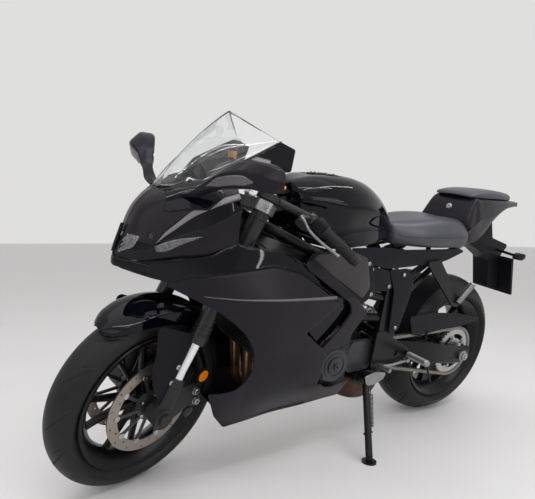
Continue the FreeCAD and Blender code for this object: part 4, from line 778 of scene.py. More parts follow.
nose_x = np.linspace(804, 524, 90)
front_width = through([500, 560, 640, 692, 760, 806], [104, 94, 68, 18, 10, 3.0], nose_x)
rim_line = sorted(band_top[:10])
rim_z = np.interp(nose_x, [x for x, _ in rim_line], [z for _, z in rim_line]) + 0.8
top_column, low_column = column_at(nose_x, front_width, 1), column_at(nose_x, rim_z, 2)
hood_stop = np.minimum(np.interp(nose_x, [524, 640, 700, 722], [1.72, 1.8, 1.9, 2.0]), low_column)
stripe_stop, lamp_stop = np.minimum(2.0, low_column), np.minimum(3.0, low_column)
hood_top = hood_strip(nose_x, top_column, hood_stop, 22)
front = nose_x > 690
hood_front = hood_strip(nose_x[front], np.zeros(front.sum()), top_column[front], 6)
chamfer = hood_strip(nose_x, hood_stop, stripe_stop, 4)
cheek = hood_strip(nose_x, stripe_stop, lamp_stop, 12)
facet = hood_strip(nose_x, lamp_stop, low_column, 12)


def outward(part, inside_point):
    """Turns a shell's faces so that they look away from a point."""
    points, faces = np.asarray(part[0]), np.asarray(part[1])
    first, second, third = (points[faces[:, corner]] for corner in range(3))
    side = ((first - inside_point) * np.cross(second - first, third - first)).sum()
    return points, faces if side > 0 else faces[:, ::-1]


nose_middle = (640, 0, 800)
hood_parts = [outward(part, nose_middle) for part in (hood_top, hood_front, facet)]
# The chamfer's light grey is a painted highlight: the bright line its ridge catches, painted into its colour.
chamfer_highlight_paint = painted_metal("painted chamfer highlight", (0.17, 0.155, 0.165), 0.3, 0.7, 0.01, coat=0.2)
panels("nose_hood", hood_parts, satin_paint, 16, 3.0, 0.0, ("nose_cowl",))
panels("nose_chamfer_highlight", [outward(chamfer, nose_middle)], chamfer_highlight_paint, 16, 3.0)
panels("nose_cheeks", [outward(cheek, nose_middle)], gloss_paint, 16, 3.0)

# Daylight lamps: slanted lenses of lightly tinted clear plastic on the cheeks, each over a bowl of
# dull ribbed metal that follows the same outline on the nose.
lens_clear = Finish("clear lamp lens").surface(
    Base_Color=(0.6, 0.61, 0.64, 1), Roughness=0.06, Transmission_Weight=1.0, IOR=1.3, Coat_Weight=0.6,
)
bowl = Finish("lamp bowl")
ribs, haze = bowl.noise(9, 1), bowl.noise(3, 1)
bowl_metal = bowl.surface(
    Base_Color=bowl.blend(ribs, (0.05, 0.05, 0.055, 1), (0.5, 0.5, 0.53, 1)), Metallic=0.9,
    Roughness=bowl.spread(haze, 0.3, 0.7, 0.2, 0.4), Normal=bowl.bump(ribs, 1.5),
)


def on_hood(outline, lift):
    """A filled outline of (x, z) laid on the left side of the nose, lifted outwards."""
    flat, faces = filled(outline, 5.0)
    x, z = flat.T
    return hood(x, column_at(x, z, 2)) + np.array([0, lift, lift * 0.25]), faces[:, ::-1]


daylight = eased([
    (724, 792), (701, 807), (672, 819), (612, 833), (630, 824), (657, 809), (680, 792), (698, 779),
    (717, 776),
], 5)
panels("daylight_lenses", [on_hood(daylight, 3.0)], lens_clear, 30, 1.6)
panels("daylight_bowls", [on_hood(daylight, 0.7)], bowl_metal, 30, 0.5)

# Head lamp: a clear lens block in the tip of the nose, with a window on either side of the tip over
# a bowl of the same ribbed metal.
dress(lens_clear, "headlamp")
window = eased([(787, 812), (757, 813), (771, 779), (799, 756)], 4)
panels("head_windows", [on_hood(window, 2.0)], lens_clear, 30, 1.2)
panels("head_bowls", [on_hood(window, 0.6)], bowl_metal, 30, 0.4)

# Dark inserts: glossy panels beside the foot of the screen and a thin blade down the tip of the
# nose, all stuck on its skin. Under the tip a glossy lip runs round the mouth of the air duct.
blade_line = np.array([(784, 0, 836), (792, 0, 808), (800, 0, 782), (806, 0, 758)], float)
blade = capped(swept(blade_line, (0, 1, 0), (1, 0, 0), np.tile([2.2, 5.0], (4, 1))))
dark_insert = on_hood(eased([
    (706, 885), (694, 938), (660, 950), (600, 968), (566, 968), (560, 944), (606, 902), (638, 900),
    (690, 886),
], 6), 1.2)
piece(
    "dark_inserts", [dark_insert, mirrored(dark_insert), blade], "chassis", gloss_paint,
    upright, (), 20, 0.8, 0.0, True,
)


def curve(points, places):
    """Smooth curve through a list of points, at places counted from 0 at the first point."""
    points = np.asarray(points, float)
    return np.stack([through(np.arange(float(len(points))), column, places) for column in points.T], 1)


lip_points = [(730, 90, 726), (766, 52, 728), (796, 22, 730)]
lip_points += [(803, 0, 730)] + [(x, -y, z) for x, y, z in lip_points[::-1]]
lip_line = curve(lip_points, np.linspace(0, 6, 41))
duct_lip = capped(swept(lip_line, (1, 0, 0), (0, 0, 1), np.tile([6.0, 13.0], (41, 1))))
piece("duct_lip", [duct_lip], "chassis", gloss_paint)

# Screen: clear moulded polycarbonate 3 mm thick. It runs from a curve on the nose and the wings up
# to a straight edge on either side, and swells outwards between the two.
base_points = [
    (697, 0, 944), (694, 30, 945), (655, 70, 955), (560, 103, 978), (455, 116, 1027), (345, 118, 1080),
]
along = np.linspace(0, 5, 70)
base_line = curve(base_points, along)
upper = np.array([486, 0, 1174.0]) + (along / 5)[:, None] ** 1.05 * np.array([-114, 118, -76.0])
share = np.linspace(0, 1, 40)[None, :, None]
screen_grid = base_line[:, None] * (1 - share) + upper[:, None] * share
bulge = 4 * share[..., 0] * (1 - share[..., 0]) * (1 - 0.4 * along[:, None] / 5)
side_bulge = bulge * np.sin(along / 5 * np.pi)[:, None] * 12
screen_grid += bulge[..., None] * np.array([10, 0, 12.0]) + side_bulge[..., None] * np.array([0.2, 1, 0.3])
screen_part = outward(grid_mesh(screen_grid), (500, 0, 950))
clear_sheet = Finish("clear polycarbonate")
tone = clear_sheet.noise(200, 1)
screen_clear = clear_sheet.surface(
    Base_Color=clear_sheet.blend(tone, (0.93, 0.94, 0.95, 1), (0.97, 0.98, 0.98, 1)), Roughness=0.02,
    Transmission_Weight=1.0, IOR=1.4, Specular_IOR_Level=0.7,
)
panels("clear_screen", [screen_part], screen_clear, 50, 3.0, 0.0, ("windscreen",))
screen_screw = [(0, 4.2), (2.5, 4.2), (2.5, 2.6), (5, 2.6), (7, 1), (7, -3)]
screws = [
    lathe(screen_screw, (x, side * y, z), (0.2, side, 0.7), 20, False)
    for x, y, z in ((628, 79, 968), (566, 100, 985), (492, 112, 1014)) for side in (-1, 1)
]
piece("screen_screws", screws, "chassis", gloss_paint)

# Screen wings: glossy moulded side fins from the nose up to the rear corners of the screen, bowed
# outwards along their length.
wing_outline = [(572, 966), (522, 1028), (384, 1100), (322, 1082), (334, 1018), (470, 1000), (530, 962)]
flat, wing_faces = filled(eased(wing_outline, 7), 8.0)
wing_x, wing_z = flat.T
wing_y = 132 + 7 * np.sin(np.clip((wing_x - 322) / 250, 0, 1) * np.pi) - 0.12 * np.clip(wing_z - 1020, 0, 100)
wing_part = np.stack([wing_x, wing_y, wing_z], 1), wing_faces[:, ::-1]
panels("side_wings", [wing_part], gloss_paint, 20, 3.5, 1.0, ("screen_wings",))


# Mirrors: satin moulded arms that swell into the mirror heads, a silvered glass facing back, a grey
# lamp strip along the front of each head and an amber dot at its end. Bodies are rounded lofts.
def rounded_rings(along, corners, radius, bulge=0.0, steps=7, fill=5):
    """Closed rings of (across, up) corners listed counter-clockwise, one ring per place along: each
    corner is a parabola that starts a radius away, and each edge bows outwards by its bulge."""
    corners = np.asarray(corners, float)
    count = corners.shape[1]
    edge = np.roll(corners, -1, 1) - corners
    length = np.linalg.norm(edge, axis=2)
    shorter = np.minimum(length, np.roll(length, 1, 1))
    radius = np.minimum(np.broadcast_to(radius, length.shape), 0.46 * shorter)
    outside = np.stack([edge[..., 1], -edge[..., 0]], -1) / length[..., None]
    bulge = np.broadcast_to(bulge, (count,))
    start, stop = radius / length, 1 - np.roll(radius, -1, 1) / length

    def on_edge(index, place):
        bow = (bulge[index] * 4 * place * (1 - place))[:, None]
        return corners[:, index] + edge[:, index] * place[:, None] + outside[:, index] * bow

    ring = []
    for index in range(count):
        before, after = on_edge(index - 1, stop[:, index - 1]), on_edge(index, start[:, index])
        for share in np.linspace(0, 1, steps):
            middle = 2 * share * (1 - share) * corners[:, index]
            ring.append((1 - share) ** 2 * before + middle + share ** 2 * after)
        for share in np.linspace(0, 1, fill + 2)[1:-1]:
            ring.append(on_edge(index, start[:, index] + (stop - start)[:, index] * share))
    ring = np.stack(ring, 1)
    along = np.broadcast_to(np.asarray(along, float)[:, None, None], ring.shape[:2] + (1,))
    return np.concatenate([along, ring], 2)


def stretched(table, count, sharp=()):
    """Rows of a table at even steps of its first column, every column a smooth curve."""
    table = np.asarray(table, float)
    table = table[np.argsort(table[:, 0])]
    at = np.linspace(table[0, 0], table[-1, 0], count)
    return np.stack([through(table[:, 0], column, at, sharp) for column in table.T], 1)


def domed(rings, first, last):
    """Rings that shrink to their middle over a length at either end, like a quarter ellipse."""
    place = rings[:, :1, 0]
    ends = np.ones_like(place)
    for reach, edge in ((first, place[0]), (last, place[-1])):
        if reach:
            left = 1 - np.clip(np.abs(place - edge) / reach, 0, 1)
            ends = ends * np.sqrt(np.clip(1 - left ** 2, 0.02, 1))
    middle = rings.mean(1, keepdims=True)
    scaled = middle + (rings - middle) * ends[..., None]
    scaled[..., 0] = rings[..., 0]
    return scaled


def body_rings(along, corner_list, radius, bulge=0.0, first=0, last=0):
    """Rings of a closed body whose corners are (across, up) curves; its ends are domed."""
    corners = np.stack([np.stack(np.broadcast_arrays(*corner), 1) for corner in corner_list], 1)
    return domed(rounded_rings(along, corners, radius, bulge), first, last)


def both_halves(left, crown=()):
    """Corners of a ring from its left half: up the left, over the crown and down the right."""
    return left + list(crown) + [(-y, z) for y, z in left[::-1]]


def mirror_shell(table, side):
    """Arm and head in one, from rows of: across, x, z, half width, half height."""
    across, x, z, half_wide, half_high = stretched(table, 70).T
    corners = [
        (x - half_wide, z - half_high), (x + half_wide * 0.7, z - half_high * 0.92),
        (x + half_wide * 1.2, z + half_high * 0.2), (x + half_wide * 0.2, z + half_high),
        (x - half_wide, z + half_high * 0.96),
    ]
    rings = body_rings(across, corners, (0.26 * np.minimum(half_wide, half_high))[:, None], 0.0, 0, 12)
    return capped(rings[..., [1, 0, 2]] * [1, side, 1])


left_mirror = [
    (112, 652, 936, 16, 8), (160, 646, 946, 18, 9), (196, 636, 968, 18, 13), (240, 616, 994, 22, 26),
    (300, 572, 1010, 24, 34), (330, 540, 1004, 22, 31), (346, 520, 998, 14, 20),
]
right_mirror = [
    (112, 652, 936, 16, 8), (160, 652, 950, 18, 9), (192, 650, 976, 16, 14), (226, 644, 1012, 24, 34),
    (286, 640, 1044, 38, 46), (336, 634, 1044, 32, 40),
]
piece(
    "mirror_shells", [mirror_shell(left_mirror, 1), mirror_shell(right_mirror, -1)],
    "chassis", satin_paint, upright, ("mirrors",), 35,
)
silvered = painted_metal("mirror silver", (0.85, 0.86, 0.88), 0.04, 4.0, 0.001, metal=1.0)
glasses = []
for table, side in ((left_mirror, 1), (right_mirror, -1)):
    across, x, z, half_wide, half_high = stretched(table, 70)[34:66].T
    trim = np.sqrt(np.clip(1 - (np.linspace(-1, 1, 32)) ** 6, 0.05, 1))
    line = np.stack([x - half_wide - 0.8, across * side, z], 1)
    size = np.stack([(half_high - 6) * trim, np.full(32, 1.2)], 1)
    glasses.append(capped(swept(line, (0, 0, 1), (1, 0, 0), size, 0.9)))
piece("mirror_glass", glasses, "chassis", silvered)
lens_strips = []
for table, side in ((right_mirror, -1), (left_mirror, 1)):
    across, x, z, half_wide, half_high = stretched(table, 70)[29:60].T
    swell = np.interp(np.linspace(0, 1, 31), [0, 0.3, 0.85, 1], [0.1, 1, 0.8, 0.15])
    line = np.stack([x + half_wide * 0.96, across * side, z - half_high * 0.4], 1)
    size = np.stack([half_high * 0.42 * swell, 5.0 * swell], 1)
    lens_strips.append(capped(swept(line, (-0.3, 0, -1), (1, 0, -0.3), size, 0.7)))
amber_dots = [
    lathe([(0, 5), (3, 4.4), (5, 2), (5, -6)], spot, (-0.4, side, 0.1), 20, False)
    for spot, side in (((512, 338, 990), 1), ((604, -332, 1026), -1))
]
lens_grey = painted_metal("mirror lamp grey", (0.085, 0.08, 0.088), 0.16, 6.0, 1.0, coat=1.0)
piece("mirror_lenses", lens_strips, "chassis", lens_grey)

# Instruments: the case and its bracket behind the screen, and a flat display, all under the same
# smoked gloss. The display is a rounded plate that leans back by 24 degrees.
smoked = lacquer("smoked display glass", (0.006, 0.006, 0.008), 0.05, 0.001)
dash_turn, dash_middle = turn_about((0, 1, 0), np.radians(-24)), np.array([515, 0, 998])
dress(smoked, "dash_panel")
display = eased([(-84, 962), (84, 962), (84, 1034), (-84, 1034)], 10)
display_grid = np.array([[(x, y, z) for y, z in display] for x in (499.2, 502.2)])
display_grid = (display_grid - dash_middle) @ dash_turn.T + dash_middle
piece("dash_display", [capped(display_grid)], "chassis", smoked)

# Fuel tank: pressed steel under gloss black lacquer, broad over the knees and hollow below them.
# Each row has x, then y, z of the foot, the hollow, the belt and the shoulder, and z of the crown.
tank_table = [
    (262, 56, 842, 62, 876, 84, 930, 58, 968, 974), (244, 66, 834, 74, 872, 100, 932, 72, 980, 987),
    (200, 90, 820, 96, 866, 128, 934, 92, 996, 1003), (110, 142, 800, 132, 850, 152, 928, 112, 1002, 1016),
    (0, 146, 796, 118, 846, 146, 922, 104, 996, 1012), (-100, 116, 800, 94, 846, 116, 900, 80, 964, 984),
    (-180, 82, 806, 72, 838, 82, 872, 56, 914, 932), (-214, 66, 812, 60, 836, 66, 856, 44, 878, 886),
]
x, foot_y, foot_z, dip_y, dip_z, belt_y, belt_z, top_y, top_z, crown_z = stretched(tank_table, 120).T
tank_left = [(foot_y, foot_z), (dip_y, dip_z), (belt_y, belt_z), (top_y, top_z)]
tank_corners = both_halves(tank_left, [(0.0, crown_z)])
tank_radius = [12, 26, 16, 40, 60, 40, 16, 26, 12]
tank_rings = body_rings(x, tank_corners, tank_radius, [0, 0, 2, 6, 6, 2, 0, 0, 0], 26, 16)
well, well_radius, well_floor = np.array([96, 0, 1011.0]), 66, 1001.5
near_well = np.linalg.norm(tank_rings[..., :2] - well[:2], axis=-1) < well_radius
sunk = np.minimum(tank_rings[..., 2], well_floor)
tank_rings[..., 2] = np.where(near_well & (tank_rings[..., 2] > 985), sunk, tank_rings[..., 2])
piece("tank_shell", [capped(tank_rings)], "chassis", gloss_paint, upright, ("fuel_tank",), 30)

# Filler cap: black anodised alloy on a turned collar round the well in the tank. Its face has raised
# rings and six small screws, and opens with the cap.
cap_alloy = painted_metal("black anodised alloy", (0.03, 0.03, 0.032), 0.3, 0.8, 0.02, metal=0.6)
dress(cap_alloy, "fuel_cap")
collar = [(54, -12), (66, -12), (66, -4), (63.5, -1.5), (56, -1.5), (54, -3), (54, -12)]
piece("cap_collar", [lathe(collar, well, (0, 0, 1), 90, False)], "chassis", cap_alloy)
cap_ring = [(0, 9), (14, 9), (15.5, 8), (15.5, 5.8), (30, 5.8), (31, 7), (44, 7), (46, 5.8), (46, 4)]
cap_parts = [lathe(cap_ring, well, (0, 0, 1), 72, False)]
cap_screw = [(0, 1.2), (1.6, 1.2), (1.6, 2.6), (3.6, 2.6), (4, 2), (4, -1)]
for angle in np.radians(60 * np.arange(6) + 30):
    spot = well + [37.5 * np.cos(angle), 37.5 * np.sin(angle), 6.5]
    cap_parts.append(lathe(cap_screw, spot, (0, 0, 1), 18, False))
piece("cap_face", cap_parts, "fuel_cap", cap_alloy)


# Knee and side covers: moulded panels with a soft grain, pressed a little outwards in the middle,
# the knee cover grey-tinted inside a darker rim and held by two bright screws.
def pressed_panel(outline, y, crown, step=8.0, radius=8.0):
    """A filled outline at y, bowed outwards by the crown towards the middle of its length."""
    flat, faces = filled(eased(outline, radius), step)
    x, z = flat.T
    along, up = (x - x.min()) / np.ptp(x), (z - z.min()) / np.ptp(z)
    bow = crown * (4 * along * (1 - along)) ** 0.5 * (0.4 + 0.6 * 4 * up * (1 - up))
    return np.stack([x, y + bow, z], 1), faces[:, ::-1]


def side_screws_at(places, half_width, head):
    """Turned screw heads at side view points, on the left and on the right at a half width."""
    return [
        lathe(head, (x, side * half_width, z), (0, side, 0), 20, False)
        for x, z in places for side in (-1, 1)
    ]


knee_grey = painted_metal("tinted knee cover", (0.036, 0.032, 0.035), 0.3, 0.9, 0.03, coat=0.2)
knee_outline = [(262, 760), (236, 790), (60, 792), (-6, 776), (-60, 640), (-2, 604), (60, 640)]
knee_inner = [(240, 762), (224, 783), (66, 785), (12, 768), (-26, 664), (0, 628), (52, 656)]
knee_rim, knee_face = pressed_panel(knee_outline, 178, 5), pressed_panel(knee_inner, 180.6, 5)
panels("knee_rims", [knee_rim], moulded, 20, 4.0, 1.0, ("knee_covers",))
panels("knee_faces", [knee_face], knee_grey, 20, 2.0, 0.8)
panel_screw = [(0, 1), (2.4, 1), (2.4, 3), (5.4, 3), (7, 1.6)]
knee_screws = side_screws_at([(-2, 748), (-36, 640)], 181.5, panel_screw + [(7, -3)])
piece("knee_screws", knee_screws, "chassis", zinc)
seat_side = pressed_panel([
    (44, 790), (-112, 792), (-206, 782), (-536, 782), (-560, 770), (-454, 736), (-250, 718),
    (-148, 714), (-8, 742),
], 141, 5, 9)
lower_side = pressed_panel([(-12, 738), (-148, 708), (-184, 640), (-160, 632), (-62, 634)], 143, 3)
limb_side = pressed_panel([
    (-156, 706), (-250, 712), (-300, 650), (-262, 470), (-214, 462), (-196, 632),
], 142, 4)
cover_parts = [seat_side, lower_side, limb_side]
panels("side_covers_skin", cover_parts, moulded, 20, 5.0, 1.2, ("side_covers",))
side_places = [(-230, 690), (-60, 716), (-160, 650), (-238, 486)]
side_screws = side_screws_at(side_places, 148, panel_screw + [(7, -4)])
piece("side_screws", side_screws, "chassis", zinc)

# Rider seat: foam on a base, under smooth dark blue-grey vinyl with a rolled upper edge and one
# sewn welt along either side. Its crown is modelled in rings from rows of: x, low edge, crown, half
# width at the low edge and half width at the crown.
vinyl = Finish("seat vinyl")
fold, pebble = vinyl.noise(40, 3), vinyl.noise(0.7, 2)
seat_vinyl = vinyl.surface(
    Base_Color=vinyl.blend(fold, (0.02, 0.021, 0.031, 1), (0.03, 0.031, 0.045, 1)),
    Roughness=vinyl.spread(pebble, 0.3, 0.7, 0.36, 0.48), Specular_IOR_Level=0.7,
    Normal=vinyl.bump(pebble, 0.08),
)
seat_table = [
    (-222, 784, 866, 58, 46), (-250, 784, 868, 80, 62), (-300, 784, 874, 112, 84), (-400, 784, 886, 138, 104),
    (-490, 784, 890, 140, 106), (-560, 784, 888, 136, 100), (-610, 790, 874, 120, 88),
]
x, low, high, half_low, half_high = stretched(seat_table, 80).T
welt_z = low + 0.42 * (high - low)
seat_corners = both_halves([(half_low * 0.97, low), (half_low, welt_z), (half_high, high)], [(0.0, high - 3)])
seat_rings = body_rings(x, seat_corners, [8, 24, 30, 50, 30, 24, 8], [0, 3, 2, 2, 3, 0, 0], 14, 14)
seat_pad = piece(
    "rider_pad", [capped(seat_rings)], "chassis", seat_vinyl, upright, ("rider_seat",), 50,
)
welts = []
for side in (-1, 1):
    line = np.stack([x, side * (half_low + 1.2), welt_z + 2], 1)[6:-6]
    welts.append(capped(swept(line, (0, 1, 0), (0, 0, 1), np.full((len(line), 2), 1.8), 1.0)))
piece("rider_welt", welts, "chassis", seat_vinyl)

# Tail: a satin moulded shell with one crease on either side that runs to a point. Each row has x,
# then y, z of the foot, the crease and the top.
tail_table = [
    (-596, 90, 808, 122, 850, 98, 872), (-640, 98, 792, 124, 884, 92, 966),
    (-690, 96, 790, 116, 900, 90, 975), (-760, 86, 826, 106, 908, 86, 976),
    (-806, 78, 868, 98, 916, 80, 976), (-900, 60, 922, 76, 940, 66, 974),
    (-1050, 30, 946, 38, 956, 30, 967),
]
x, foot_y, foot_z, side_y, crease_z, top_y, top_z = stretched(tail_table, 90).T
tail_corners = both_halves([(foot_y, foot_z), (side_y, crease_z), (top_y, top_z)])
tail_rings = body_rings(x, tail_corners, [16, 5, 16, 16, 5, 16], [0, 2, 1, 2, 0, 0], 8, 8)
piece("tail_shell", [capped(tail_rings)], "chassis", satin_paint, upright, ("tail_cowl",), 30)

# Pillion seat: a raised pad of the same vinyl on top of the tail, with the round zinc seat lock in
# the step before it. The rows are those of the rider seat.
pillion_table = [
    (-622, 977, 990, 80, 66), (-666, 977, 999, 86, 72), (-730, 977, 1006, 88, 74), (-840, 977, 1008, 78, 64),
    (-960, 972, 999, 52, 38),
]
x, low, high, half_low, half_high = stretched(pillion_table, 70).T
middle_z = low + 0.5 * (high - low)
pillion_corners = both_halves([(half_low * 0.96, low), (half_low, middle_z), (half_high, high)])
pillion_rings = body_rings(x, pillion_corners, [4, 9, 16, 16, 9, 4], [0, 1, 3, 1, 0, 0], 12, 14)
lock_profile = [(0, 3), (4, 3), (4, 5), (10, 5), (12.5, 3), (12.5, -8)]
lock = lathe(lock_profile, (-622, 0, 930), (1, 0, 0.15), 32, False)
piece("seat_lock", [lock], "chassis", zinc)
pillion_pad = piece(
    "pillion_pad", [capped(pillion_rings)], "chassis", seat_vinyl,
    upright, ("pillion_seat",), 50,
)

# Rear lamp and indicators: a moulded housing and stalks, smoked lenses on the indicators, and three
# round dark red lenses at the end of the tail.
rear_red = lacquer("dark red lens", (0.12, 0.008, 0.008), 0.08, 0.002)
dress(moulded, "rear_lamps")
pod_table = [(-964, 8, 10), (-974, 13, 12), (-992, 15, 13), (-1012, 13, 11), (-1032, 8, 8)]
x, half_wide, half_high = stretched(pod_table, 30).T
pods, pod_z = [], 738
for pod_y in (-124, 124):
    pod_corners = [
        (pod_y - half_wide, pod_z - half_high), (pod_y + half_wide, pod_z - half_high),
        (pod_y + half_wide, pod_z + half_high), (pod_y - half_wide, pod_z + half_high),
    ]
    pods.append(capped(body_rings(x, pod_corners, (0.8 * half_high)[:, None], 0.0, 8, 8)))
smoke_lens = lacquer("smoked lens", (0.03, 0.012, 0.006), 0.1, 0.002)
piece("indicator_lenses", pods, "chassis", smoke_lens)
red_lens = [(0, 1), (9, 1), (10, 0), (10, -2)]
red_lenses = [lathe(red_lens, (-1062.2, y, 955), (-1, 0, 0), 24, False) for y in (-18, 0, 18)]
piece("tail_lens", red_lenses, "chassis", rear_red)

# Fork: hard chromed inner tubes in black anodised outer tubes with turned grooves, black cast feet,
# and bare alloy clamps. Everything from here to the fender turns with the steering.
cos_rake, sin_rake = np.cos(rake), np.sin(rake)


def on_steering(height, forward=0.0, side=0.0):
    """Point at a height on the steering axis, moved forward and sideways square to it."""
    reach = height / cos_rake
    return steering_foot + steering_up * reach + np.array([cos_rake * forward, side, sin_rake * forward])


def leg(height, side):
    """Point on the middle line of a fork leg, which stands before the steering axis."""
    return on_steering(height, trail_offset, side)


dress(bare_alloy, "fork_clamps")
hard_chrome = painted_metal("hard chrome", (0.72, 0.73, 0.75), 0.1, 2.0, 0.002, metal=1.0)
dress(hard_chrome, "fork_inner_tubes")
anodised = painted_metal("black anodised tube", (0.016, 0.016, 0.018), 0.26, 0.8, 0.008, coat=0.35)
casting_paint = painted_metal("cast foot paint", (0.02, 0.02, 0.021), 0.4, 1.6, 0.08)
dress(anodised, "fork_outer_tubes")
dress(casting_paint, "fork_castings", "handlebars", "front_axle")
tube_rings, top_caps = [], []
for side in (-105, 105):
    for height in (536, 548, 700, 870):
        ring = [(26.9, 0), (28.2, 1.5), (28.2, 8), (26.9, 9.5)]
        tube_rings.append(lathe(ring, leg(height, side), steering_up, 48, False))
    cap = [(0, 7), (6, 7), (6, 3), (15, 3), (15, 8), (19, 8), (20, 6), (20, 0)]
    top_caps.append(lathe(cap, leg(946, side), steering_up, 6, False))
    top_caps.append(lathe([(20, 1), (25, 1), (26.5, 0), (26.5, -3)], leg(946, side), steering_up, 40, False))
piece("fork_tube_rings", tube_rings, "steering", anodised, steered)
piece("fork_top_caps", top_caps, "steering", bare_alloy, steered)
stem_nut = [(0, 8), (9, 8), (9, 4), (19, 4), (20, 2), (20, -6)]
clamp_bolts = [lathe(stem_nut, on_steering(937), steering_up, 6, False)]
pinch_bolt = [(0, 3), (3, 3), (3, 7), (6, 7), (6.5, 6), (6.5, -2)]
for side in (-1, 1):
    clamp_bolts.append(lathe(pinch_bolt, on_steering(908, 62, side * 132), (0.9, side * 0.4, 0.2), 18, False))
piece("clamp_bolts", clamp_bolts, "steering", zinc, steered)

# Calipers: cast bodies under black paint, each with two piston bosses and two bright bolts, and a
# round amber reflector in a moulded rim above it on the leg.
caliper_paint = painted_metal("caliper paint", (0.018, 0.018, 0.02), 0.3, 1.0, 0.05, coat=0.3)
dress(caliper_paint, "front_calipers")
bosses, bolts, reflectors, reflector_rims = [], [], [], []
for side in (-1, 1):
    for degrees in (176, 199):
        angle = np.radians(degrees)
        spot = front_hub + [132 * np.cos(angle), side * 95, 132 * np.sin(angle)]
        bosses.append(lathe([(0, 5), (15, 5), (18, 3), (18, -4)], spot, (0, side, 0), 32, False))
    for x, z in ((572, 345), (565, 308)):
        head = [(0, 4), (4, 4), (4, 9), (9.5, 9), (11, 7.5), (11, 1), (14, 0.6), (14, -3)]
        bolts.append(lathe(head, (x, side * 114, z), (0, side, 0), 24, False))
    rim, spot = [(20, -4), (24, -4), (24, 6), (22.5, 7.5), (20, 7.5), (20, -4)], (560, side * 117, 399)
    reflector_rims.append(lathe(rim, spot, (0, side, 0), 40, False))
    reflectors.append(lathe([(0, 6.8), (19, 5.8), (20.5, 4), (20.5, 0)], spot, (0, side, 0), 40, False))
piece("caliper_bosses", bosses, "steering", caliper_paint, steered)
piece("caliper_bolts", bolts, "steering", zinc, steered)
piece("reflector_rims", reflector_rims, "steering", moulded, steered)
prism = Finish("amber reflector")
cells = prism.node("ShaderNodeTexVoronoi", None, {"Vector": prism.place, "Scale": 420.0}, "Distance")
amber_prism = prism.surface(
    Base_Color=prism.blend(prism.spread(cells, 0.1, 0.6, 0, 1), (1.0, 0.42, 0.02, 1), (0.75, 0.16, 0.0, 1)),
    Roughness=0.2, Coat_Weight=0.8, Normal=prism.bump(cells, 0.6),
)
piece("reflectors", reflectors, "steering", amber_prism, steered)
piece("mirror_amber", amber_dots, "chassis", amber_prism)

# Handlebars: ribbed black rubber grips with flanges and turned weights at their ends. Both bars are
# the left one and its mirror image, so a shape is placed at the same numbers times a sign.
grip_rubber = rubber_finish("grip rubber", 0.014, 0.55)
bar_root, bar_end = np.array([322, 190, 918.0]), np.array([246, 343, 818.0])
bar_length = np.linalg.norm(bar_end - bar_root)
bar_run = (bar_end - bar_root) / bar_length
to_right = np.array([1, -1, 1])
both_bars = (np.ones(3), to_right)
grip_line = [(11.4, 66), (21, 66), (22, 67.5), (22, 69.5), (18, 71)]
for place in np.arange(74, bar_length - 24, 3.2):
    grip_line += [(17.4, place), (16.5, place + 0.9), (16.5, place + 1.9), (17.4, place + 2.6)]
grip_line += [(17.6, bar_length - 20), (19, bar_length - 18), (19, bar_length - 15)]
grip_line += [(11.4, bar_length - 14.4)]
grip_parts = [lathe(grip_line, bar_root * sign, bar_run * sign, 40, False) for sign in both_bars]
piece("bar_grips", grip_parts, "steering", grip_rubber, steered, ("grips",))
weight = [(0, -2.4), (5, -2.4), (5, -0.6), (13, -0.6), (15.6, -3), (15.6, -13), (11.3, -13.5)]
bar_weights = [lathe(weight, bar_end * sign, bar_run * sign, 36, False) for sign in both_bars]
piece("bar_weights", bar_weights, "steering", casting_paint, steered)

# Switches: a moulded housing round each bar inside the grip, with three raised keys on the face
# that looks back at the rider.
forward = np.cross(bar_run, (0, 0, 1.0))
forward *= np.sign(forward[0]) / np.linalg.norm(forward)
upward = np.cross(forward, bar_run)
upward *= np.sign(upward[2])
box_line = bar_root + bar_run * np.array([26, 28, 38, 52, 63, 65.6])[:, None]
box_size = np.stack([[19, 23, 24, 23, 21, 18], [20, 23, 25, 24, 22, 19]], 1)
box = capped(swept(box_line, forward, upward, box_size, 0.6))
keys = []
for sign in both_bars:
    for step, rise, size in ((34, 6, 5.0), (46, -4, 6.5), (56, 5, 4.5)):
        spot = bar_root + bar_run * step - forward * 20 + upward * rise
        key = [(0, 9), (size - 1, 9), (size, 8), (size, 0)]
        keys.append(lathe(key, spot * sign, -forward * sign, 4, False))
boxes = [box, mirrored(box)]
piece("switch_boxes", boxes, "steering", moulded, steered, ("switch_housings",))
piece("switch_keys", keys, "steering", casting_paint, steered)

# Hand levers: grey cast alloy blades that bow forward and end in a knob, each on a pivot pin in a
# black perch that is clamped round the bar.
lever_alloy = painted_metal("grey lever alloy", (0.2, 0.2, 0.205), 0.34, 0.7, 0.03, metal=0.8)
perch_spot = bar_root + bar_run * 14
pivot = perch_spot + [44, 0, 6]
blade_points = [pivot - bar_run * 8, pivot + bar_run * 14 + [9, 0, 0]]
for step, out, rise in ((60, 66, 1), (104, 66, -1), (140, 60, 0), (166, 61, 2)):
    blade_points.append(bar_root + bar_run * step + [out, 0, rise])
places = np.linspace(0, 5, 50)
wide = np.interp(places, [0, 0.6, 1.5, 3.5, 4.6, 5], [9, 9, 6, 6.2, 5, 7.5])
deep = np.interp(places, [0, 0.6, 1.5, 3.5, 4.6, 5], [5.5, 6, 4.2, 4.2, 4.5, 7])
blade = capped(swept(curve(blade_points, places), forward, upward, np.stack([wide, deep], 1), 0.8))
pin = [(0, 8), (5, 8), (6, 6), (6, -8), (5, -9), (0, -9)]
pins = [lathe(pin, pivot * sign, upward * sign, 20, False) for sign in both_bars]
piece(
    "lever_blades", [blade, mirrored(blade)] + pins, "steering", lever_alloy,
    steered, ("hand_levers",),
)
clamp = [(13, 2), (18, 3), (19, 6), (19, 22), (18, 25), (13, 26), (13, 2)]
arm_line = (perch_spot + np.linspace(0, 1, 8)[:, None] * (pivot - perch_spot))[2:]
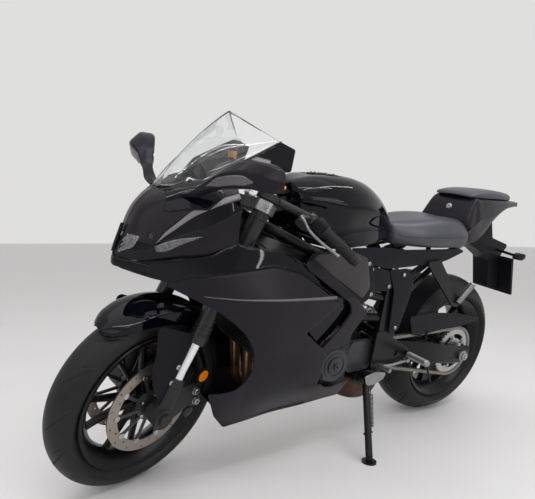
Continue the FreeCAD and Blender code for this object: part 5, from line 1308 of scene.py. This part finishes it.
arm = capped(swept(arm_line, bar_run, upward, np.tile([11, 8.5], (6, 1)), 0.7))
perches = []
for sign, side_arm in zip(both_bars, (arm, mirrored(arm))):
    perches += [lathe(clamp, bar_root * sign, bar_run * sign, 40, False), side_arm]
piece("lever_perches", perches, "steering", caliper_paint, steered)

# Brake fluid cup: an amber see-through cup by the right bar, with a black screwed lid and a round
# black stay that comes up from the bar.
amber_fluid = Finish("amber fluid cup").surface(
    Base_Color=(0.75, 0.38, 0.08, 1), Roughness=0.15, Transmission_Weight=0.5, Coat_Weight=0.5, IOR=1.4,
)
cup_spot = np.array([392, -93, 1042.0])
cup = lathe([(0, -18), (12, -18), (14, -15), (14, 12), (0, 12)], cup_spot, (0, 0, 1), 32, False)
piece("fluid_cup", [cup], "steering", amber_fluid, steered)
lid = lathe([(0, 19), (13, 19), (15, 17), (15, 11), (0, 11)], cup_spot, (0, 0, 1), 32, False)
stay_line = np.array([cup_spot + [0, 0, -14], (bar_root + [10, -10, 8]) * to_right])
stay = capped(swept(stay_line, (1, 0, 0), (0, 1, 0), [(5, 5), (5, 5)], 1.0))
piece("fluid_cup_lid", [lid, stay], "steering", caliper_paint, steered)

# Fender: a gloss black moulding over the tyre with cheeks that reach down beside it, narrowing to
# its front end. Each ring across it has a crown, a rounded shoulder and a straight cheek.
turn = np.linspace(57.5, 151.5, 110)
share = np.linspace(-1, 1, 61)
half_wide = 72 * np.interp(turn, [57.5, 59, 62, 66, 74, 152], [0.4, 0.58, 0.74, 0.88, 1.0, 1.0])
low_edge = np.interp(turn, [54, 60, 70, 88, 120, 140, 151.5], [312, 304, 292, 276, 270, 276, 292])
crown_r = np.interp(turn, [57.5, 64, 80, 130, 151.5], [321, 325, 326, 324, 318])
bend_at = 0.62
across = np.where(np.abs(share) < bend_at, share / bend_at, np.sign(share))
dip = np.where(np.abs(share) < bend_at, 0, (np.abs(share) - bend_at) / (1 - bend_at))
shoulder = 12 * np.abs(across) ** 3.2
out = crown_r[:, None] - shoulder[None] - dip[None] * np.maximum(crown_r - 12 - low_edge, 0)[:, None]
rad = np.radians(turn)[:, None]
fender_grid = np.stack([
    front_hub[0] + out * np.cos(rad), across[None] * half_wide[:, None], front_hub[2] + out * np.sin(rad),
], -1)
fender_part = outward(grid_mesh(fender_grid), front_hub)
piece(
    "fender_skin", [fender_part], "steering", gloss_paint,
    steered, ("front_fender",), 40, 3.0, 0.9, True,
)

# Fork guards: a matt moulded plate down the outside of each leg, bowed outwards a little and held by
# two bright screws.
guard_outline = [
    (746, 519), (752, 458), (740, 406), (702, 326), (664, 338), (642, 380), (655, 391), (603, 494),
    (596, 517), (622, 552), (736, 600), (752, 590),
]
guard_part = pressed_panel(guard_outline, 110, 4, 7.0, 12)
panels("fork_guards", [guard_part], moulded, 20, 3.0, 1.0, (), "steering", steered)
guard_screw = [(0, 1), (2.6, 1), (2.6, 3), (6, 3), (8, 1.4), (8, -3)]
guard_screws = side_screws_at([(661, 455), (678, 408)], 114, guard_screw)
piece("guard_screws", guard_screws, "steering", zinc, steered)

# Side stand: black enamelled steel, with one coil spring beside the leg that is hooked at both ends,
# and the bright lug that it turns on.
dress(enamel, "side_stand")
stand_pivot = np.array([-134, 146, 300.0])
foot_row = upright([[-60, 288, 60.0]])[0]
foot_row[2] = 0
foot_spot = ((foot_row - parked_origin) * 1000) @ parked
leg_line = foot_spot + parked.T @ np.array([0, 0, 22.0]) - stand_pivot
coil_count, coil_radius, wire_radius = 26, 7.5, 1.5
hook = stand_pivot + leg_line * 0.72 + [-16, 0, 0]
anchor = stand_pivot + leg_line * 0.16 + [-20, 4, 0]
coil_turn = np.linspace(0, 2 * np.pi * coil_count, coil_count * 14)
coil_share = np.linspace(0.12, 0.88, len(coil_turn))[:, None]
coil_axis = (hook - anchor) / np.linalg.norm(hook - anchor)
coil_side = np.cross(coil_axis, (0, 1, 0))
coil_side /= np.linalg.norm(coil_side)
coil_other = np.cross(coil_axis, coil_side)
round_line = np.cos(coil_turn)[:, None] * coil_side + np.sin(coil_turn)[:, None] * coil_other
coil = anchor + (hook - anchor) * coil_share + round_line * coil_radius
coil_tube = capped(swept(coil, round_line, coil_axis, np.full((len(coil), 2), wire_radius), 1.0))
reach = (hook - anchor) * 0.14
ends = [np.array([anchor, anchor + reach]), np.array([hook - reach, hook])]
rods = [capped(swept(end, coil_side, coil_other, [(1.8, 1.8), (1.8, 1.8)], 1.0)) for end in ends]
spring_steel = painted_metal("black spring steel", (0.05, 0.05, 0.052), 0.34, 1.0, 0.02, metal=0.7)
piece("stand_spring", [coil_tube] + rods, "side_stand", spring_steel)
lug_outline = [(-96, 322), (-150, 334), (-206, 322), (-196, 300), (-150, 282), (-112, 284)]
lug = pressed_panel(lug_outline, 175, 2, 6.0, 10)
piece("stand_lug", [lug], "chassis", bare_alloy, upright, (), 20, 4.0, 1.0, True)

# Studio: a pale floor, soft light from above and the sides, and one plain pale surround. Long lamps
# give the thin bright lines that the lacquer mirrors.
def area_light(name, place, aim, width, height, watts):
    """A rectangular lamp at a place, turned towards its aim; sizes in metres."""
    data = bpy.data.lights.new(name, "AREA")
    data.shape, data.size, data.size_y, data.energy = "RECTANGLE", width, height, watts
    light = bpy.data.objects.new(name, data)
    bpy.context.collection.objects.link(light)
    light.location = place
    light.rotation_euler = (Vector(aim) - Vector(place)).to_track_quat("-Z", "Y").to_euler()
    return light


lights = [
    area_light("sky_panel", (0.6, 0.4, 3.6), (0, 0, 0.4), 5.0, 4.0, 40),
    area_light("front_panel", (3.6, 1.6, 1.9), (0, 0, 0.6), 2.4, 2.0, 16),
    area_light("left_panel", (-0.4, 4.2, 2.2), (0, 0, 0.5), 3.6, 1.6, 18),
]
for index, (x, y) in enumerate(((-1.2, 1.2), (0.2, 1.7), (1.5, 0.9))):
    lights.append(area_light(f"tube_{index}", (x, y, 3.0), (x * 0.6, 0, 0.6), 2.6, 0.05, 14))
for index, (height, watts) in enumerate(((1.0, 5), (1.35, 5), (1.9, 8))):
    lights.append(area_light(f"side_tube_{index}", (-0.2, 2.9, height), (0.1, 0, 0.7), 3.0, 0.035, watts))
floor_mesh = bpy.data.meshes.new("studio_floor")
floor_mesh.from_pydata([(-40, -40, 0), (40, -40, 0), (40, 40, 0), (-40, 40, 0)], [], [(0, 1, 2, 3)])
floor = bpy.data.objects.new("studio_floor", floor_mesh)
bpy.context.collection.objects.link(floor)
floor_paint = Finish("pale floor")
speck = floor_paint.noise(400, 4)
floor_mesh.materials.append(floor_paint.surface(
    Base_Color=floor_paint.blend(speck, (0.645, 0.635, 0.64, 1), (0.69, 0.68, 0.68, 1)), Roughness=0.5,
))
world = bpy.data.worlds.new("studio_surround")
bpy.context.scene.world = world
world.use_nodes = True
tree = world.node_tree
tree.nodes.clear()
surround, world_out = tree.nodes.new("ShaderNodeBackground"), tree.nodes.new("ShaderNodeOutputWorld")
surround.inputs["Color"].default_value = (0.74, 0.735, 0.73, 1)
tree.links.new(surround.outputs[0], world_out.inputs["Surface"])

# Camera: it stands where the photograph's stood, found from both wheels, the stand and the ground
# line. The picture's middle and the focal length are in pixels of the photograph.
photo_width, photo_height, focal_length, middle_x, middle_y = 535, 499, 449.4, 201.8, 244.0
camera_spot = (1.2212, 1.1966, 0.7793)
yaw, dip, roll = np.radians([-117.84, -1.06, 0.36])
look = np.array([np.cos(yaw) * np.cos(dip), np.sin(yaw) * np.cos(dip), np.sin(dip)])
right = np.array([np.sin(yaw), -np.cos(yaw), 0])
above = np.cross(right, look)
matrix = np.eye(4)
matrix[:3, 0] = right * np.cos(roll) + above * np.sin(roll)
matrix[:3, 1] = above * np.cos(roll) - right * np.sin(roll)
matrix[:3, 2], matrix[:3, 3] = -look, camera_spot
camera_data = bpy.data.cameras.new("photo_camera")
camera = bpy.data.objects.new("photo_camera", camera_data)
bpy.context.collection.objects.link(camera)
camera.matrix_world = Matrix(matrix.tolist())
camera_data.sensor_width = 36
camera_data.lens = focal_length * camera_data.sensor_width / photo_width
camera_data.shift_x = (photo_width / 2 - middle_x) / photo_width
camera_data.shift_y = (middle_y - photo_height / 2) / photo_width
camera_data.clip_start = 0.05
camera_data.dof.use_dof = False
scene = bpy.context.scene
scene.camera = camera
scene.view_settings.view_transform = "Standard"
